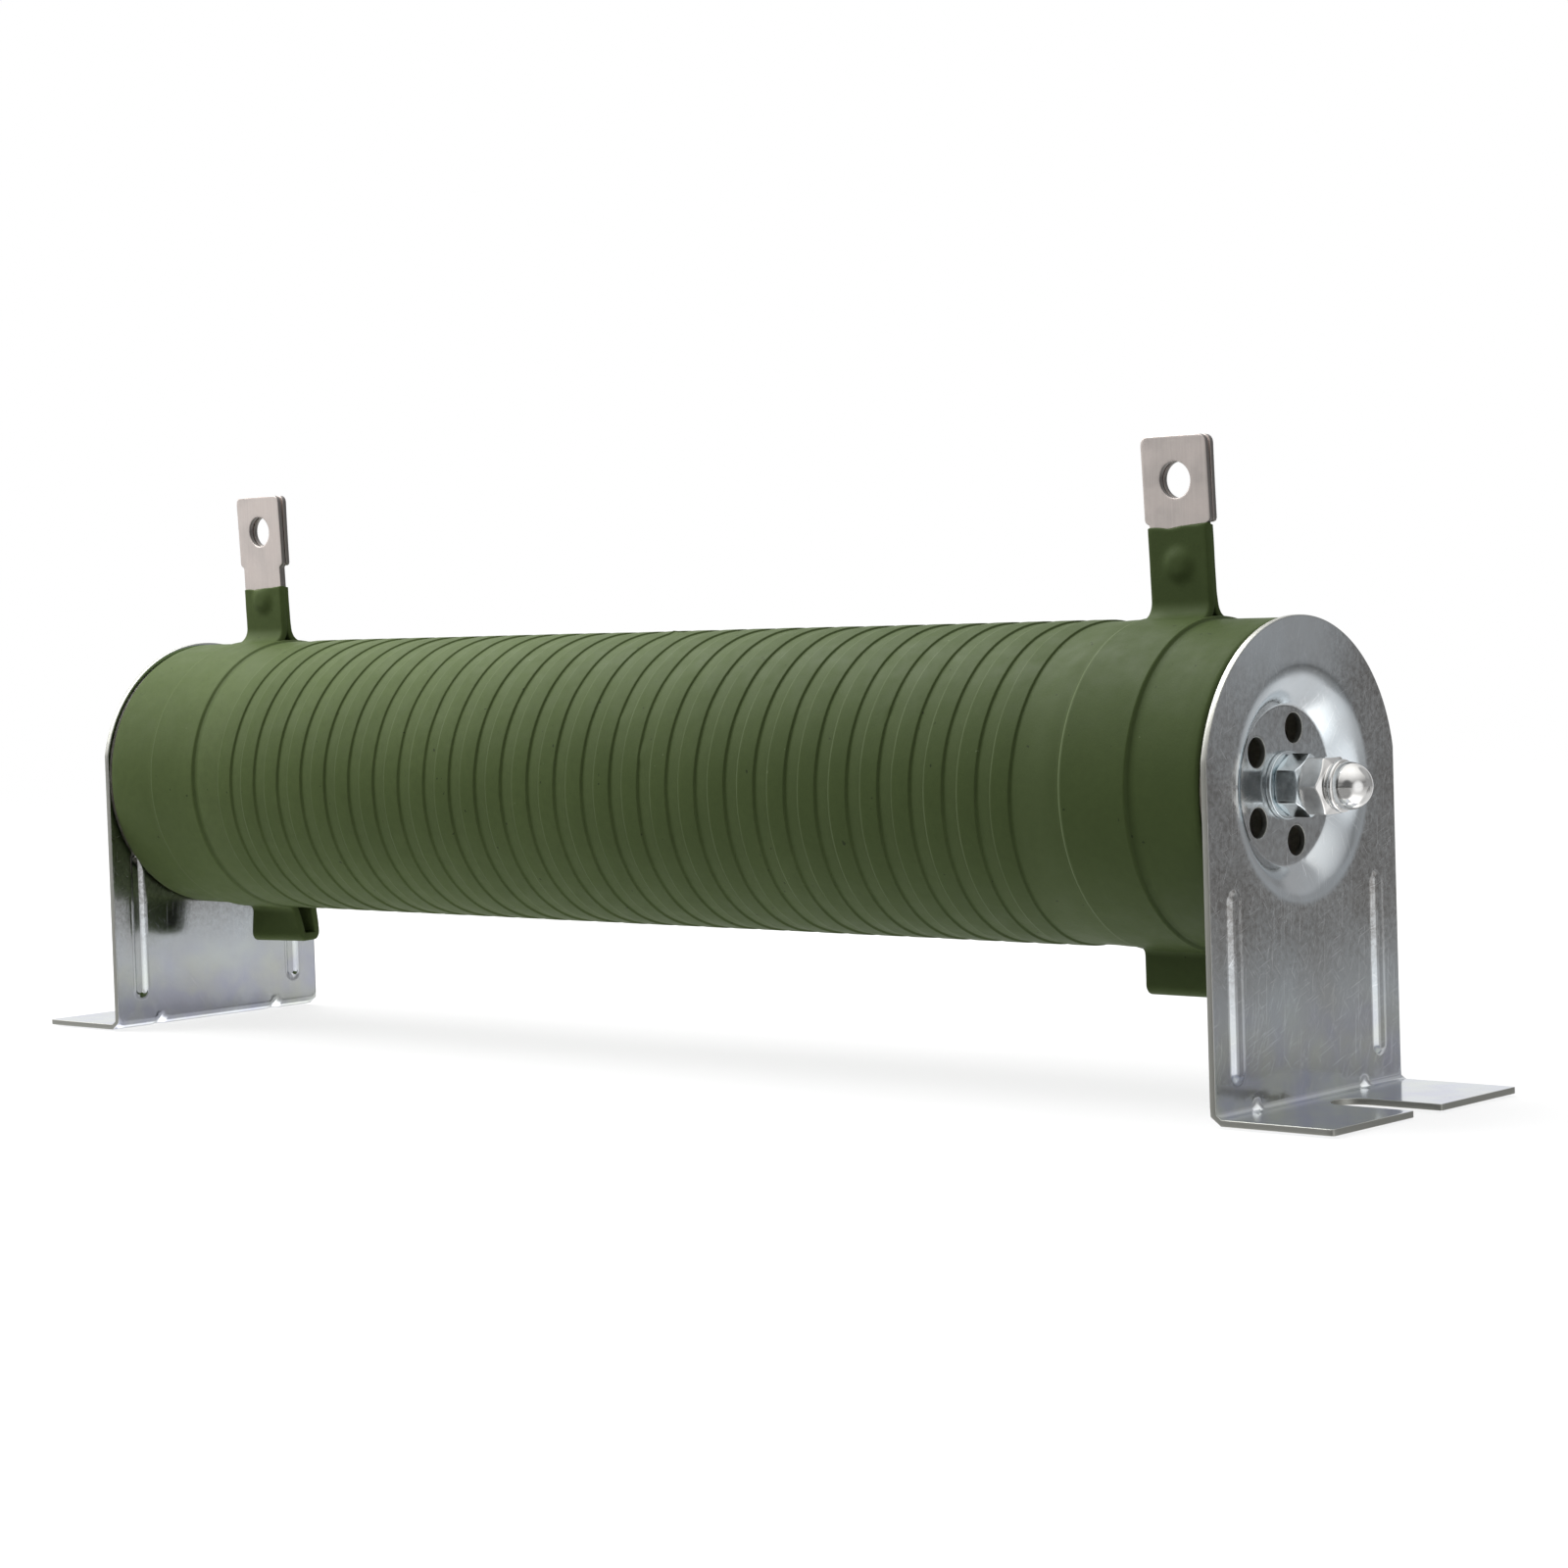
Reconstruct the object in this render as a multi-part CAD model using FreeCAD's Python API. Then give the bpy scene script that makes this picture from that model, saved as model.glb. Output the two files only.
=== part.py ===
"""Tubular wire-wound power resistor, clamped between two slotted feet by a through rod.

Millimetres. X runs along the tube, Z is up, and the origin is at the centre of the base:
z = 0 is the underside of the feet. The -Y side is the front, and +X is the right-hand end.
"""
import FreeCAD, Part
import math
import os

V = FreeCAD.Vector

# Ceramic tube
TUBE_LENGTH = 299.0
TUBE_DIAMETER = 58.0
TUBE_WALL = 8.1
TUBE_EDGE_CHAMFER = 0.6
AXIS_HEIGHT = 57.0

# Resistance ribbon, wound edge-spaced as a left-hand helix
RIBBON_WIDTH = 3.9
RIBBON_THICKNESS = 0.4
RIBBON_CLEARANCE = 0.1
TURN_PITCH = 7.69
FIRST_TURN_FROM_BAND = 7.6
LAST_TURN_FROM_BAND = 10.2
WINDING_START_ANGLE = 0.0

# Silicone coating
COAT_IN_GROOVES = 0.9
COAT_RIDGE_HEIGHT = 0.6
COAT_RIDGE_SLOPE = 0.35
LEAD_RIDGE_SHARE = 0.75
COAT_SKIN = 0.45
COAT_SHOULDER = 1.0
COAT_END_GAP = 0.3
COAT_BELOW_HEAD_LEFT = 4.9
COAT_BELOW_HEAD_RIGHT = 0.5

# Terminal bands: one strap each, closed on top as a two-layer lug
BAND_FROM_TUBE_END = 22.5
STRAP_THICKNESS = 1.0
BAND_WIDTH = 13.0
NECK_WIDTH = 12.4
HEAD_WIDTH = 14.4
HEAD_LENGTH = 15.9
LUG_REACH = 63.3
HEAD_CORNER_RADIUS = 1.5
SHOULDER_RADIUS = 0.8
LUG_LAYER_GAP = 0.35
LUG_ROOT_RADIUS = 3.6
LUG_HOLE_DIAMETER = 6.7
LUG_HOLE_FROM_TOP = 8.0
CLINCH_DIAMETER = 4.8
CLINCH_HEIGHT = 0.6
CLINCH_BELOW_HEAD = 7.5
EAR_DEPTH = 6.4
EAR_DROP = 7.8
EAR_ROOT_RADIUS = 1.2
EAR_SHIFT_LEFT = 1.2
EAR_SHIFT_RIGHT = -2.6

# Gaskets between tube ends and brackets
GASKET_THICKNESS = 0.5
GASKET_RIM = 0.6

# Sheet steel brackets
SHEET = 1.2
BRACKET_SIDE_MARGIN = 0.8
BRACKET_TOP_MARGIN = 1.3
BEND_RADIUS = 1.0
FOOT_LENGTH = 25.0
FOOT_SLOT_WIDTH = 8.9
FOOT_SLOT_DEPTH = 19.0
DISH_DEPTH = 3.9
DISH_WALL_RADIUS = 7.9
DISH_CLEARANCE = 0.1
VENT_COUNT = 5
VENT_DIAMETER = 5.2
VENT_CIRCLE_DIAMETER = 21.2
ROD_HOLE_DIAMETER = 6.6
BEAD_FROM_SIDE = 7.1
BEAD_WIDTH = 4.5
BEAD_HEIGHT = 1.0
BEAD_BOTTOM_Z = 5.0
BEAD_TOP_BELOW_AXIS = 16.5
DART_FROM_SIDE = 12.6
DART_WIDTH = 3.0
DART_LEG = 4.0

# M6 rod, washers, nuts and cap nuts
ROD_DIAMETER = 6.0
THREAD_CLEARANCE = 0.05
WASHER_DIAMETER = 12.4
WASHER_THICKNESS = 1.0
HEX_ACROSS_FLATS = 10.0
HEX_CHAMFER_ANGLE = 30.0
HEX_FACE_INSET = 0.2
HEX_TURN = 30.0
NUT_HEIGHT = 5.0
CAP_HEX_HEIGHT = 5.3
CAP_COLLAR_DIAMETER = 8.5
CAP_COLLAR_HEIGHT = 0.9
CAP_DOME_DIAMETER = 8.8
CAP_HEIGHT = 11.6
CAP_THREAD_DEPTH = 7.6
CAP_TURN = 30.0
ROD_END_IN_CAP = 6.4

# Values that follow from the sizes above
AXIS = V(0, 0, AXIS_HEIGHT)
TUBE_RADIUS = TUBE_DIAMETER / 2
BORE_RADIUS = TUBE_RADIUS - TUBE_WALL
RIBBON_RADIUS = TUBE_RADIUS + RIBBON_CLEARANCE
COAT_BORE_RADIUS = RIBBON_RADIUS + RIBBON_THICKNESS + RIBBON_CLEARANCE
STRAP_RADIUS = TUBE_RADIUS + STRAP_THICKNESS
GROOVE_RADIUS = TUBE_RADIUS + COAT_IN_GROOVES
CREST_RADIUS = GROOVE_RADIUS + COAT_RIDGE_HEIGHT
BAND_X = TUBE_LENGTH / 2 - BAND_FROM_TUBE_END
BAND_INNER_X = BAND_X - BAND_WIDTH / 2
WINDING_START_X = FIRST_TURN_FROM_BAND - BAND_INNER_X
WINDING_ROOM = BAND_INNER_X - LAST_TURN_FROM_BAND - WINDING_START_X
TURN_COUNT = math.floor(WINDING_ROOM / TURN_PITCH)
WINDING_END_X = WINDING_START_X + TURN_PITCH * TURN_COUNT
LUG_TOP_Z = AXIS_HEIGHT + LUG_REACH
HEAD_BOTTOM_Z = LUG_TOP_Z - HEAD_LENGTH
LUG_HOLE_Z = LUG_TOP_Z - LUG_HOLE_FROM_TOP
CLINCH_Z = HEAD_BOTTOM_Z - CLINCH_BELOW_HEAD
EAR_BOTTOM_Z = AXIS_HEIGHT - STRAP_RADIUS - EAR_DROP
BRACKET_HALF_WIDTH = TUBE_RADIUS + BRACKET_SIDE_MARGIN
BRACKET_TOP_RADIUS = TUBE_RADIUS + BRACKET_TOP_MARGIN
PLATE_X = TUBE_LENGTH / 2 + GASKET_THICKNESS
FACE_X = PLATE_X + SHEET
FOOT_END_X = PLATE_X + FOOT_LENGTH
DISH_RIM_RADIUS = BORE_RADIUS - DISH_CLEARANCE
DISH_FLOOR_X = FACE_X - DISH_DEPTH
WASHER_TOP_X = DISH_FLOOR_X + WASHER_THICKNESS
NUT_TOP_X = WASHER_TOP_X + NUT_HEIGHT
ROD_END_X = NUT_TOP_X + ROD_END_IN_CAP


def revolve_about_axis(edges):
    """Turn a closed outline, drawn at y = 0, about the tube's axis."""
    face = Part.Face(Part.Wire(edges))
    return face.revolve(AXIS, V(1, 0, 0), 360)


def outline(points):
    """Closed polygon from (x, radius) pairs."""
    corners = [V(x, 0, AXIS_HEIGHT + r) for x, r in points]
    return Part.makePolygon(corners + corners[:1]).Edges


def cylinder_x(radius, x_from, x_to, y=0.0, z=AXIS_HEIGHT):
    return Part.makeCylinder(radius, x_to - x_from, V(x_from, y, z), V(1, 0, 0))


def ring_x(outer, inner, x_from, x_to):
    return cylinder_x(outer, x_from, x_to).cut(cylinder_x(inner, x_from, x_to))


def box(x_from, x_to, y_from, y_to, z_from, z_to):
    size = (x_to - x_from, y_to - y_from, z_to - z_from)
    return Part.makeBox(*size, V(x_from, y_from, z_from))


def mirrored(shape):
    return shape.mirror(V(0, 0, 0), V(1, 0, 0))


def ceramic_tube():
    end = TUBE_LENGTH / 2
    bore = BORE_RADIUS
    c = TUBE_EDGE_CHAMFER
    return revolve_about_axis(outline([
        (-end, bore + c), (-end, TUBE_RADIUS - c), (-end + c, TUBE_RADIUS),
        (end - c, TUBE_RADIUS), (end, TUBE_RADIUS - c), (end, bore + c),
        (end - c, bore), (-end + c, bore)]))


def helical_strip(inner, outer, half_inner, half_outer):
    """Strip along the winding's helix; its section runs from one radius to another."""
    helix = Part.makeLongHelix(TURN_PITCH, TURN_PITCH * TURN_COUNT, inner, 0, True)
    section = [V(inner, 0, -half_inner), V(outer, 0, -half_outer),
               V(outer, 0, half_outer), V(inner, 0, half_inner)]
    wire = Part.makePolygon(section + section[:1])
    strip = Part.Wire(helix.Edges).makePipeShell([wire], True, True)
    strip.rotate(V(0, 0, 0), V(0, 1, 0), 90)
    strip.rotate(V(0, 0, 0), V(1, 0, 0), 90 + WINDING_START_ANGLE)
    strip.translate(V(WINDING_START_X, 0, AXIS_HEIGHT))
    return strip


def lead(inner, outer, x_from, x_to, angle):
    """Straight strip along the tube, between an end of the winding and a band."""
    half = RIBBON_WIDTH / 2
    strip = ring_x(outer, inner, x_from, x_to)
    side = box(x_from, x_to, 0, 2 * outer, AXIS_HEIGHT - half, AXIS_HEIGHT + half)
    strip = strip.common(side)
    strip.rotate(AXIS, V(1, 0, 0), angle)
    return strip


def both_leads(inner, outer, band_edge_x):
    return [lead(inner, outer, -band_edge_x, WINDING_START_X, WINDING_START_ANGLE),
            lead(inner, outer, WINDING_END_X, band_edge_x, WINDING_START_ANGLE)]


def resistance_ribbon():
    half = RIBBON_WIDTH / 2
    outer = RIBBON_RADIUS + RIBBON_THICKNESS
    turns = helical_strip(RIBBON_RADIUS, outer, half, half)
    inset = RIBBON_CLEARANCE
    leads = both_leads(RIBBON_RADIUS + inset, outer - inset, BAND_INNER_X)
    return turns.multiFuse(leads)


# Strap of a terminal band, drawn in the YZ plane and then extruded along X

def on_circle(centre, radius, angle):
    return centre + V(0, radius * math.cos(angle), radius * math.sin(angle))


def arc(centre, radius, start, end):
    """Arc in a YZ plane between two angles, in radians."""
    middle = (start + end) / 2
    points = [on_circle(centre, radius, a) for a in (start, middle, end)]
    return Part.Arc(*points).toShape()


def root_centre(wall_y, side, root_radius, below):
    """Centre of the bend between the round strap and an upright wall whose outside is at wall_y."""
    y = wall_y + side * root_radius
    rise = math.sqrt((STRAP_RADIUS + root_radius) ** 2 - y ** 2)
    return V(0, y, AXIS_HEIGHT + (-rise if below else rise))


def strap_line(offset, lug_top, ear_shift):
    """Line that runs at a distance outside the strap's outer face, from lug end to lug end."""
    ring = STRAP_RADIUS + offset
    leg = LUG_LAYER_GAP / 2 + STRAP_THICKNESS
    ear = EAR_DEPTH / 2
    ear_floor = EAR_BOTTOM_Z + ear
    edges = []
    ends = []
    for side in (1, -1):
        lug_root = root_centre(side * leg, side, LUG_ROOT_RADIUS, False)
        ear_root = root_centre(ear_shift + side * ear, side, EAR_ROOT_RADIUS, True)
        lug_bearing = math.atan2(lug_root.z - AXIS_HEIGHT, lug_root.y)
        ear_bearing = math.atan2(ear_root.z - AXIS_HEIGHT, ear_root.y)
        lug_r = LUG_ROOT_RADIUS - offset
        ear_r = EAR_ROOT_RADIUS - offset
        leg_y = side * (leg + offset)
        wall_y = ear_shift + side * (ear + offset)
        if side > 0:
            lug_arc = (lug_bearing - math.pi, -math.pi)
            ear_arc = (ear_bearing + math.pi, math.pi)
            ring_arc = (lug_bearing, ear_bearing)
        else:
            lug_arc = (lug_bearing - math.pi, 0.0)
            ear_arc = (ear_bearing + math.pi, 0.0)
            ring_arc = (lug_bearing, ear_bearing + 2 * math.pi)
        leg_line = Part.makeLine(V(0, leg_y, lug_top), V(0, leg_y, lug_root.z))
        wall_line = Part.makeLine(V(0, wall_y, ear_root.z), V(0, wall_y, ear_floor))
        half = [leg_line,
                arc(lug_root, lug_r, *lug_arc),
                arc(AXIS, ring, *ring_arc),
                arc(ear_root, ear_r, *ear_arc),
                wall_line]
        edges.append(half)
        ends.append(V(0, leg_y, lug_top))
    floor_centre = V(0, ear_shift, ear_floor)
    floor = arc(floor_centre, ear + offset, 0.0, -math.pi)
    return edges[0] + [floor] + edges[1][::-1], ends


def strap_solid(inner, outer, lug_top, ear_shift, width):
    """Extruded strap between two offsets, centred on x = 0."""
    outside, outside_ends = strap_line(outer, lug_top, ear_shift)
    inside, inside_ends = strap_line(inner, lug_top, ear_shift)
    caps = [Part.makeLine(a, b) for a, b in zip(outside_ends, inside_ends)]
    wire = Part.Wire(Part.__sortEdges__(outside + inside + caps))
    face = Part.Face(wire)
    face.translate(V(-width / 2, 0, 0))
    return face.extrude(V(width, 0, 0))


def edges_along_y(shape, z):
    """Straight edges that run front to back at a height."""
    chosen = []
    for edge in shape.Edges:
        a, b = edge.Vertexes[0].Point, edge.Vertexes[-1].Point
        if abs(a.z - z) < 1e-6 and abs(b.z - z) < 1e-6 and abs(a.y - b.y) > 1:
            chosen.append(edge)
    return chosen


def front_view(skin, lug_top):
    """What the front view keeps of the strap: band, narrower neck and wider head."""
    reach = TUBE_DIAMETER
    neck_z = AXIS_HEIGHT + STRAP_RADIUS + LUG_ROOT_RADIUS
    band = BAND_WIDTH / 2 + skin
    neck = NECK_WIDTH / 2 + skin
    shape = box(-band, band, -reach, reach, 0, neck_z)
    shape = shape.fuse(box(-neck, neck, -reach, reach, 0, min(lug_top, HEAD_BOTTOM_Z)))
    if lug_top > HEAD_BOTTOM_Z:
        half = HEAD_WIDTH / 2
        head = box(-half, half, -reach, reach, HEAD_BOTTOM_Z, lug_top)
        for radius, z in ((HEAD_CORNER_RADIUS, lug_top), (SHOULDER_RADIUS, HEAD_BOTTOM_Z)):
            head = head.makeFillet(radius, edges_along_y(head, z))
        shape = shape.fuse(head)
    return shape


def clinch(skin, hollow):
    """Round boss pressed out of the front layer, or the hollow behind it in the back layer."""
    radius = (CLINCH_DIAMETER ** 2 / 4 + CLINCH_HEIGHT ** 2) / (2 * CLINCH_HEIGHT)
    face_y = LUG_LAYER_GAP / 2 + STRAP_THICKNESS
    y = -face_y - CLINCH_HEIGHT + radius
    if hollow:
        y += 2 * face_y
    return Part.makeSphere(radius + skin, V(0, y, CLINCH_Z))


def in_front(shape):
    """The part of a shape in front of the middle of the lug's front layer."""
    y = -LUG_LAYER_GAP / 2 - STRAP_THICKNESS / 2
    return shape.common(box(-BAND_WIDTH, BAND_WIDTH, -TUBE_RADIUS, y, 0, LUG_TOP_Z))


def terminal_strap(x, ear_shift):
    """Whole strap: round the tube, up through the neck, and both layers of the lug."""
    strap = strap_solid(-STRAP_THICKNESS, 0.0, LUG_TOP_Z, ear_shift, HEAD_WIDTH + 2)
    strap = strap.common(front_view(0.0, LUG_TOP_Z))
    joined = Part.makeCylinder(CLINCH_DIAMETER / 2, LUG_LAYER_GAP + STRAP_THICKNESS,
                               V(0, -(LUG_LAYER_GAP + STRAP_THICKNESS) / 2, CLINCH_Z), V(0, 1, 0))
    strap = strap.multiFuse([in_front(clinch(0.0, False)), joined])
    back = box(-BAND_WIDTH, BAND_WIDTH, 0, TUBE_RADIUS, 0, LUG_TOP_Z)
    strap = strap.cut(clinch(0.0, True).common(back))
    reach = LUG_LAYER_GAP + 2 * STRAP_THICKNESS
    hole = Part.makeCylinder(LUG_HOLE_DIAMETER / 2, 2 * reach, V(0, -reach, LUG_HOLE_Z), V(0, 1, 0))
    strap = strap.cut(hole)
    strap.translate(V(x, 0, 0))
    return strap


def band_and_lug(strap):
    """The strap cut across at the foot of its neck: band with ear below, lug above."""
    neck_z = root_centre(LUG_LAYER_GAP / 2 + STRAP_THICKNESS, 1, LUG_ROOT_RADIUS, False).z
    room = box(-TUBE_LENGTH, TUBE_LENGTH, -TUBE_DIAMETER, TUBE_DIAMETER, neck_z, 2 * LUG_TOP_Z)
    return strap.cut(room), strap.common(room)


def band_cover(x, ear_shift, coat_top):
    """Coating over a band, its ear and its neck, before the strap is cut out of it."""
    skin = COAT_SKIN
    cover = strap_solid(-STRAP_THICKNESS, skin, coat_top, ear_shift, BAND_WIDTH + 4 * skin)
    cover = cover.common(front_view(skin, coat_top))
    gap = LUG_LAYER_GAP / 2 + STRAP_THICKNESS / 2
    half = NECK_WIDTH / 2 + skin
    root_z = root_centre(gap + STRAP_THICKNESS / 2, 1, LUG_ROOT_RADIUS, False).z
    filler = box(-half, half, -gap, gap, root_z, coat_top)
    cover = cover.multiFuse([filler, in_front(clinch(skin, False))])
    cover.translate(V(x, 0, 0))
    return cover


def ridge():
    """Helical ridge that the coating forms over the ribbon, rooted inside the sleeve."""
    root = (COAT_BORE_RADIUS + GROOVE_RADIUS) / 2
    slope = COAT_RIDGE_SLOPE / COAT_RIDGE_HEIGHT
    half = RIBBON_WIDTH / 2
    return helical_strip(root, CREST_RADIUS, half + slope * (CREST_RADIUS - root), half)


def silicone_coating(straps):
    end = TUBE_LENGTH / 2 - COAT_END_GAP
    inner = BAND_INNER_X - COAT_SKIN
    outer = BAND_X + BAND_WIDTH / 2 + COAT_SKIN
    cover = STRAP_RADIUS + COAT_SKIN
    half = [(inner - COAT_SHOULDER, GROOVE_RADIUS), (inner, cover), (outer, cover),
            (outer + COAT_SHOULDER, GROOVE_RADIUS), (end - COAT_SKIN, GROOVE_RADIUS),
            (end, GROOVE_RADIUS - COAT_SKIN)]
    mirrored_half = [(-x, r) for x, r in half[::-1]]
    ends = [(-end, TUBE_RADIUS)] + mirrored_half + half + [(end, TUBE_RADIUS)]
    sleeve = revolve_about_axis(outline(ends)).fuse(ridge())
    root = (COAT_BORE_RADIUS + GROOVE_RADIUS) / 2
    lead_top = GROOVE_RADIUS + COAT_RIDGE_HEIGHT * LEAD_RIDGE_SHARE
    covers = [band_cover(-BAND_X, EAR_SHIFT_LEFT, HEAD_BOTTOM_Z - COAT_BELOW_HEAD_LEFT),
              band_cover(BAND_X, EAR_SHIFT_RIGHT, HEAD_BOTTOM_Z - COAT_BELOW_HEAD_RIGHT)]
    coat = sleeve.multiFuse(both_leads(root, lead_top, inner + COAT_SKIN / 2) + covers)
    cores = [cylinder_x(TUBE_RADIUS, -TUBE_LENGTH, TUBE_LENGTH),
             cylinder_x(COAT_BORE_RADIUS, -BAND_INNER_X, BAND_INNER_X)]
    for tool in cores + straps:
        coat = coat.cut(tool)
    return coat


def gasket():
    x = TUBE_LENGTH / 2
    outer = TUBE_RADIUS - GASKET_RIM
    inner = BORE_RADIUS + GASKET_RIM
    return ring_x(outer, inner, x, x + GASKET_THICKNESS)


# Bracket at the right-hand end

def arch():
    """Front view of the upright plate: straight sides and a round top."""
    half = BRACKET_HALF_WIDTH
    corner = math.sqrt(BRACKET_TOP_RADIUS ** 2 - half ** 2)
    sides = [V(0, -half, AXIS_HEIGHT + corner), V(0, -half, 0),
             V(0, half, 0), V(0, half, AXIS_HEIGHT + corner)]
    lines = [Part.makeLine(a, b) for a, b in zip(sides, sides[1:])]
    top = Part.Arc(sides[3], V(0, 0, AXIS_HEIGHT + BRACKET_TOP_RADIUS), sides[0]).toShape()
    face = Part.Face(Part.Wire(lines + [top]))
    return face.extrude(V(FOOT_END_X, 0, 0))


def angle_section():
    """Plate, bend and foot in side view, extruded over the bracket's width."""
    r, t = BEND_RADIUS, SHEET
    top = AXIS_HEIGHT + BRACKET_TOP_RADIUS
    foot_end = FOOT_END_X
    centre = V(FACE_X + r, 0, t + r)
    diagonal = V(-1, 0, -1) * math.sqrt(0.5)
    inner_arc = Part.Arc(V(FACE_X, 0, t + r), centre + diagonal * r, V(FACE_X + r, 0, t))
    outer_arc = Part.Arc(V(FACE_X + r, 0, 0), centre + diagonal * (r + t), V(PLATE_X, 0, t + r))
    edges = [Part.makeLine(V(FACE_X, 0, top), V(FACE_X, 0, t + r)), inner_arc.toShape(),
             Part.makeLine(V(FACE_X + r, 0, t), V(foot_end, 0, t)),
             Part.makeLine(V(foot_end, 0, t), V(foot_end, 0, 0)),
             Part.makeLine(V(foot_end, 0, 0), V(FACE_X + r, 0, 0)), outer_arc.toShape(),
             Part.makeLine(V(PLATE_X, 0, t + r), V(PLATE_X, 0, top)),
             Part.makeLine(V(PLATE_X, 0, top), V(FACE_X, 0, top))]
    face = Part.Face(Part.Wire(edges))
    face.translate(V(0, -BRACKET_HALF_WIDTH, 0))
    return face.extrude(V(0, 2 * BRACKET_HALF_WIDTH, 0))


def dish_curve(offset):
    """Round wall of the dish, tangent to the plate at its rim, down to the flat floor."""
    radius = DISH_WALL_RADIUS - offset
    centre_x = FACE_X - DISH_WALL_RADIUS
    rim_z = AXIS_HEIGHT + DISH_RIM_RADIUS
    turn = math.acos((DISH_FLOOR_X - offset - centre_x) / radius)
    angles = (0, turn / 2, turn)
    points = [V(centre_x + radius * math.cos(a), 0, rim_z - radius * math.sin(a)) for a in angles]
    return Part.Arc(*points).toShape(), points[0], points[-1]


def dish():
    """Sheet pressed in towards the tube, from the rim circle to the centre."""
    out_wall, out_rim, out_floor = dish_curve(0.0)
    in_wall, in_rim, in_floor = dish_curve(SHEET)
    out_mid = V(out_floor.x, 0, AXIS_HEIGHT)
    in_mid = V(in_floor.x, 0, AXIS_HEIGHT)
    edges = [out_wall, Part.makeLine(out_floor, out_mid), Part.makeLine(out_mid, in_mid),
             Part.makeLine(in_mid, in_floor), in_wall, Part.makeLine(in_rim, out_rim)]
    return revolve_about_axis(Part.__sortEdges__(edges))


def capsule(radius, y, x, z_from, z_to):
    body = Part.makeCylinder(radius, z_to - z_from, V(x, y, z_from))
    ends = [Part.makeSphere(radius, V(x, y, z)) for z in (z_from, z_to)]
    return body.multiFuse(ends)


def bead(y, depth):
    """Round-ended stiffening bead; depth is 0 for its outside and one sheet for its inside."""
    radius = (BEAD_WIDTH ** 2 / 4 + BEAD_HEIGHT ** 2) / (2 * BEAD_HEIGHT)
    x = FACE_X + BEAD_HEIGHT - radius
    end = BEAD_WIDTH / 2
    top = AXIS_HEIGHT - BEAD_TOP_BELOW_AXIS
    return capsule(radius - depth, y, x, BEAD_BOTTOM_Z + end, top - end)


def dart(y, depth):
    """Rounded rib across the inside of the bend, at 45 degrees; depth as for a bead."""
    radius = DART_WIDTH / 2 - depth / 2
    peak = DART_LEG / math.sqrt(2) - depth
    reach = peak - radius
    corner = V(FACE_X, y, SHEET)
    outward = V(1, 0, 1) * math.sqrt(0.5)
    along = V(1, 0, -1) * math.sqrt(0.5)
    length = 4 * DART_LEG
    start = corner + outward * reach - along * (length / 2)
    rib = Part.makeCylinder(radius, length, start, along)
    across = V(0, radius, 0)
    deep = outward * (4 * SHEET)
    corners = [start - across, start + across, start + across - deep, start - across - deep]
    web = Part.Face(Part.makePolygon(corners + corners[:1])).extrude(along * length)
    return rib.fuse(web)


def bracket():
    shape = angle_section().common(arch())
    shape = shape.cut(cylinder_x(DISH_RIM_RADIUS, PLATE_X - 1, FACE_X + 1))
    shape = shape.fuse(dish())
    half = BRACKET_HALF_WIDTH
    room = box(FACE_X - SHEET / 2, FOOT_END_X, -half, half, SHEET / 2, AXIS_HEIGHT)
    behind = box(PLATE_X - 1, FACE_X + DART_LEG, -half, half, -1, AXIS_HEIGHT)
    for side in (-1, 1):
        bead_y = side * (half - BEAD_FROM_SIDE)
        dart_y = side * (half - DART_FROM_SIDE)
        shape = shape.fuse(bead(bead_y, 0.0).common(room))
        shape = shape.cut(bead(bead_y, SHEET))
        shape = shape.fuse(dart(dart_y, 0.0).common(room))
        shape = shape.cut(dart(dart_y, SHEET).common(behind))
    through = PLATE_X - 2 * DISH_DEPTH
    holes = [cylinder_x(ROD_HOLE_DIAMETER / 2, through, FACE_X)]
    for i in range(VENT_COUNT):
        angle = 2 * math.pi * i / VENT_COUNT
        y = VENT_CIRCLE_DIAMETER / 2 * math.cos(angle)
        z = AXIS_HEIGHT + VENT_CIRCLE_DIAMETER / 2 * math.sin(angle)
        holes.append(cylinder_x(VENT_DIAMETER / 2, through, FACE_X, y, z))
    for hole in holes:
        shape = shape.cut(hole)
    slot_half = FOOT_SLOT_WIDTH / 2
    slot_x = FOOT_END_X - FOOT_SLOT_DEPTH + slot_half
    slot = box(slot_x, FOOT_END_X + 1, -slot_half, slot_half, -1, SHEET + 1)
    slot = slot.fuse(Part.makeCylinder(slot_half, SHEET + 2, V(slot_x, 0, -1)))
    return shape.cut(slot)


# Hardware at the right-hand end

def hexagon(x_from, x_to, turn):
    """Hexagon bar along X with the corners of both ends chamfered round."""
    corner = HEX_ACROSS_FLATS / math.sqrt(3)
    points = []
    for i in range(7):
        angle = math.radians(60 * i + turn)
        points.append(V(x_from, corner * math.cos(angle), AXIS_HEIGHT + corner * math.sin(angle)))
    bar = Part.Face(Part.makePolygon(points)).extrude(V(x_to - x_from, 0, 0))
    face = HEX_ACROSS_FLATS / 2 - HEX_FACE_INSET
    drop = (2 * corner - face) * math.tan(math.radians(HEX_CHAMFER_ANGLE))
    cone_start = [(x_from, 0), (x_from, face), (x_from + drop, 2 * corner)]
    cone_end = [(x_to - drop, 2 * corner), (x_to, face), (x_to, 0)]
    return bar.common(revolve_about_axis(outline(cone_start + cone_end)))


def washer():
    return ring_x(WASHER_DIAMETER / 2, ROD_HOLE_DIAMETER / 2, DISH_FLOOR_X, WASHER_TOP_X)


def hex_nut():
    bore = ROD_DIAMETER / 2 + THREAD_CLEARANCE
    nut = hexagon(WASHER_TOP_X, NUT_TOP_X, HEX_TURN)
    return nut.cut(cylinder_x(bore, WASHER_TOP_X - 1, NUT_TOP_X + 1))


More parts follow.
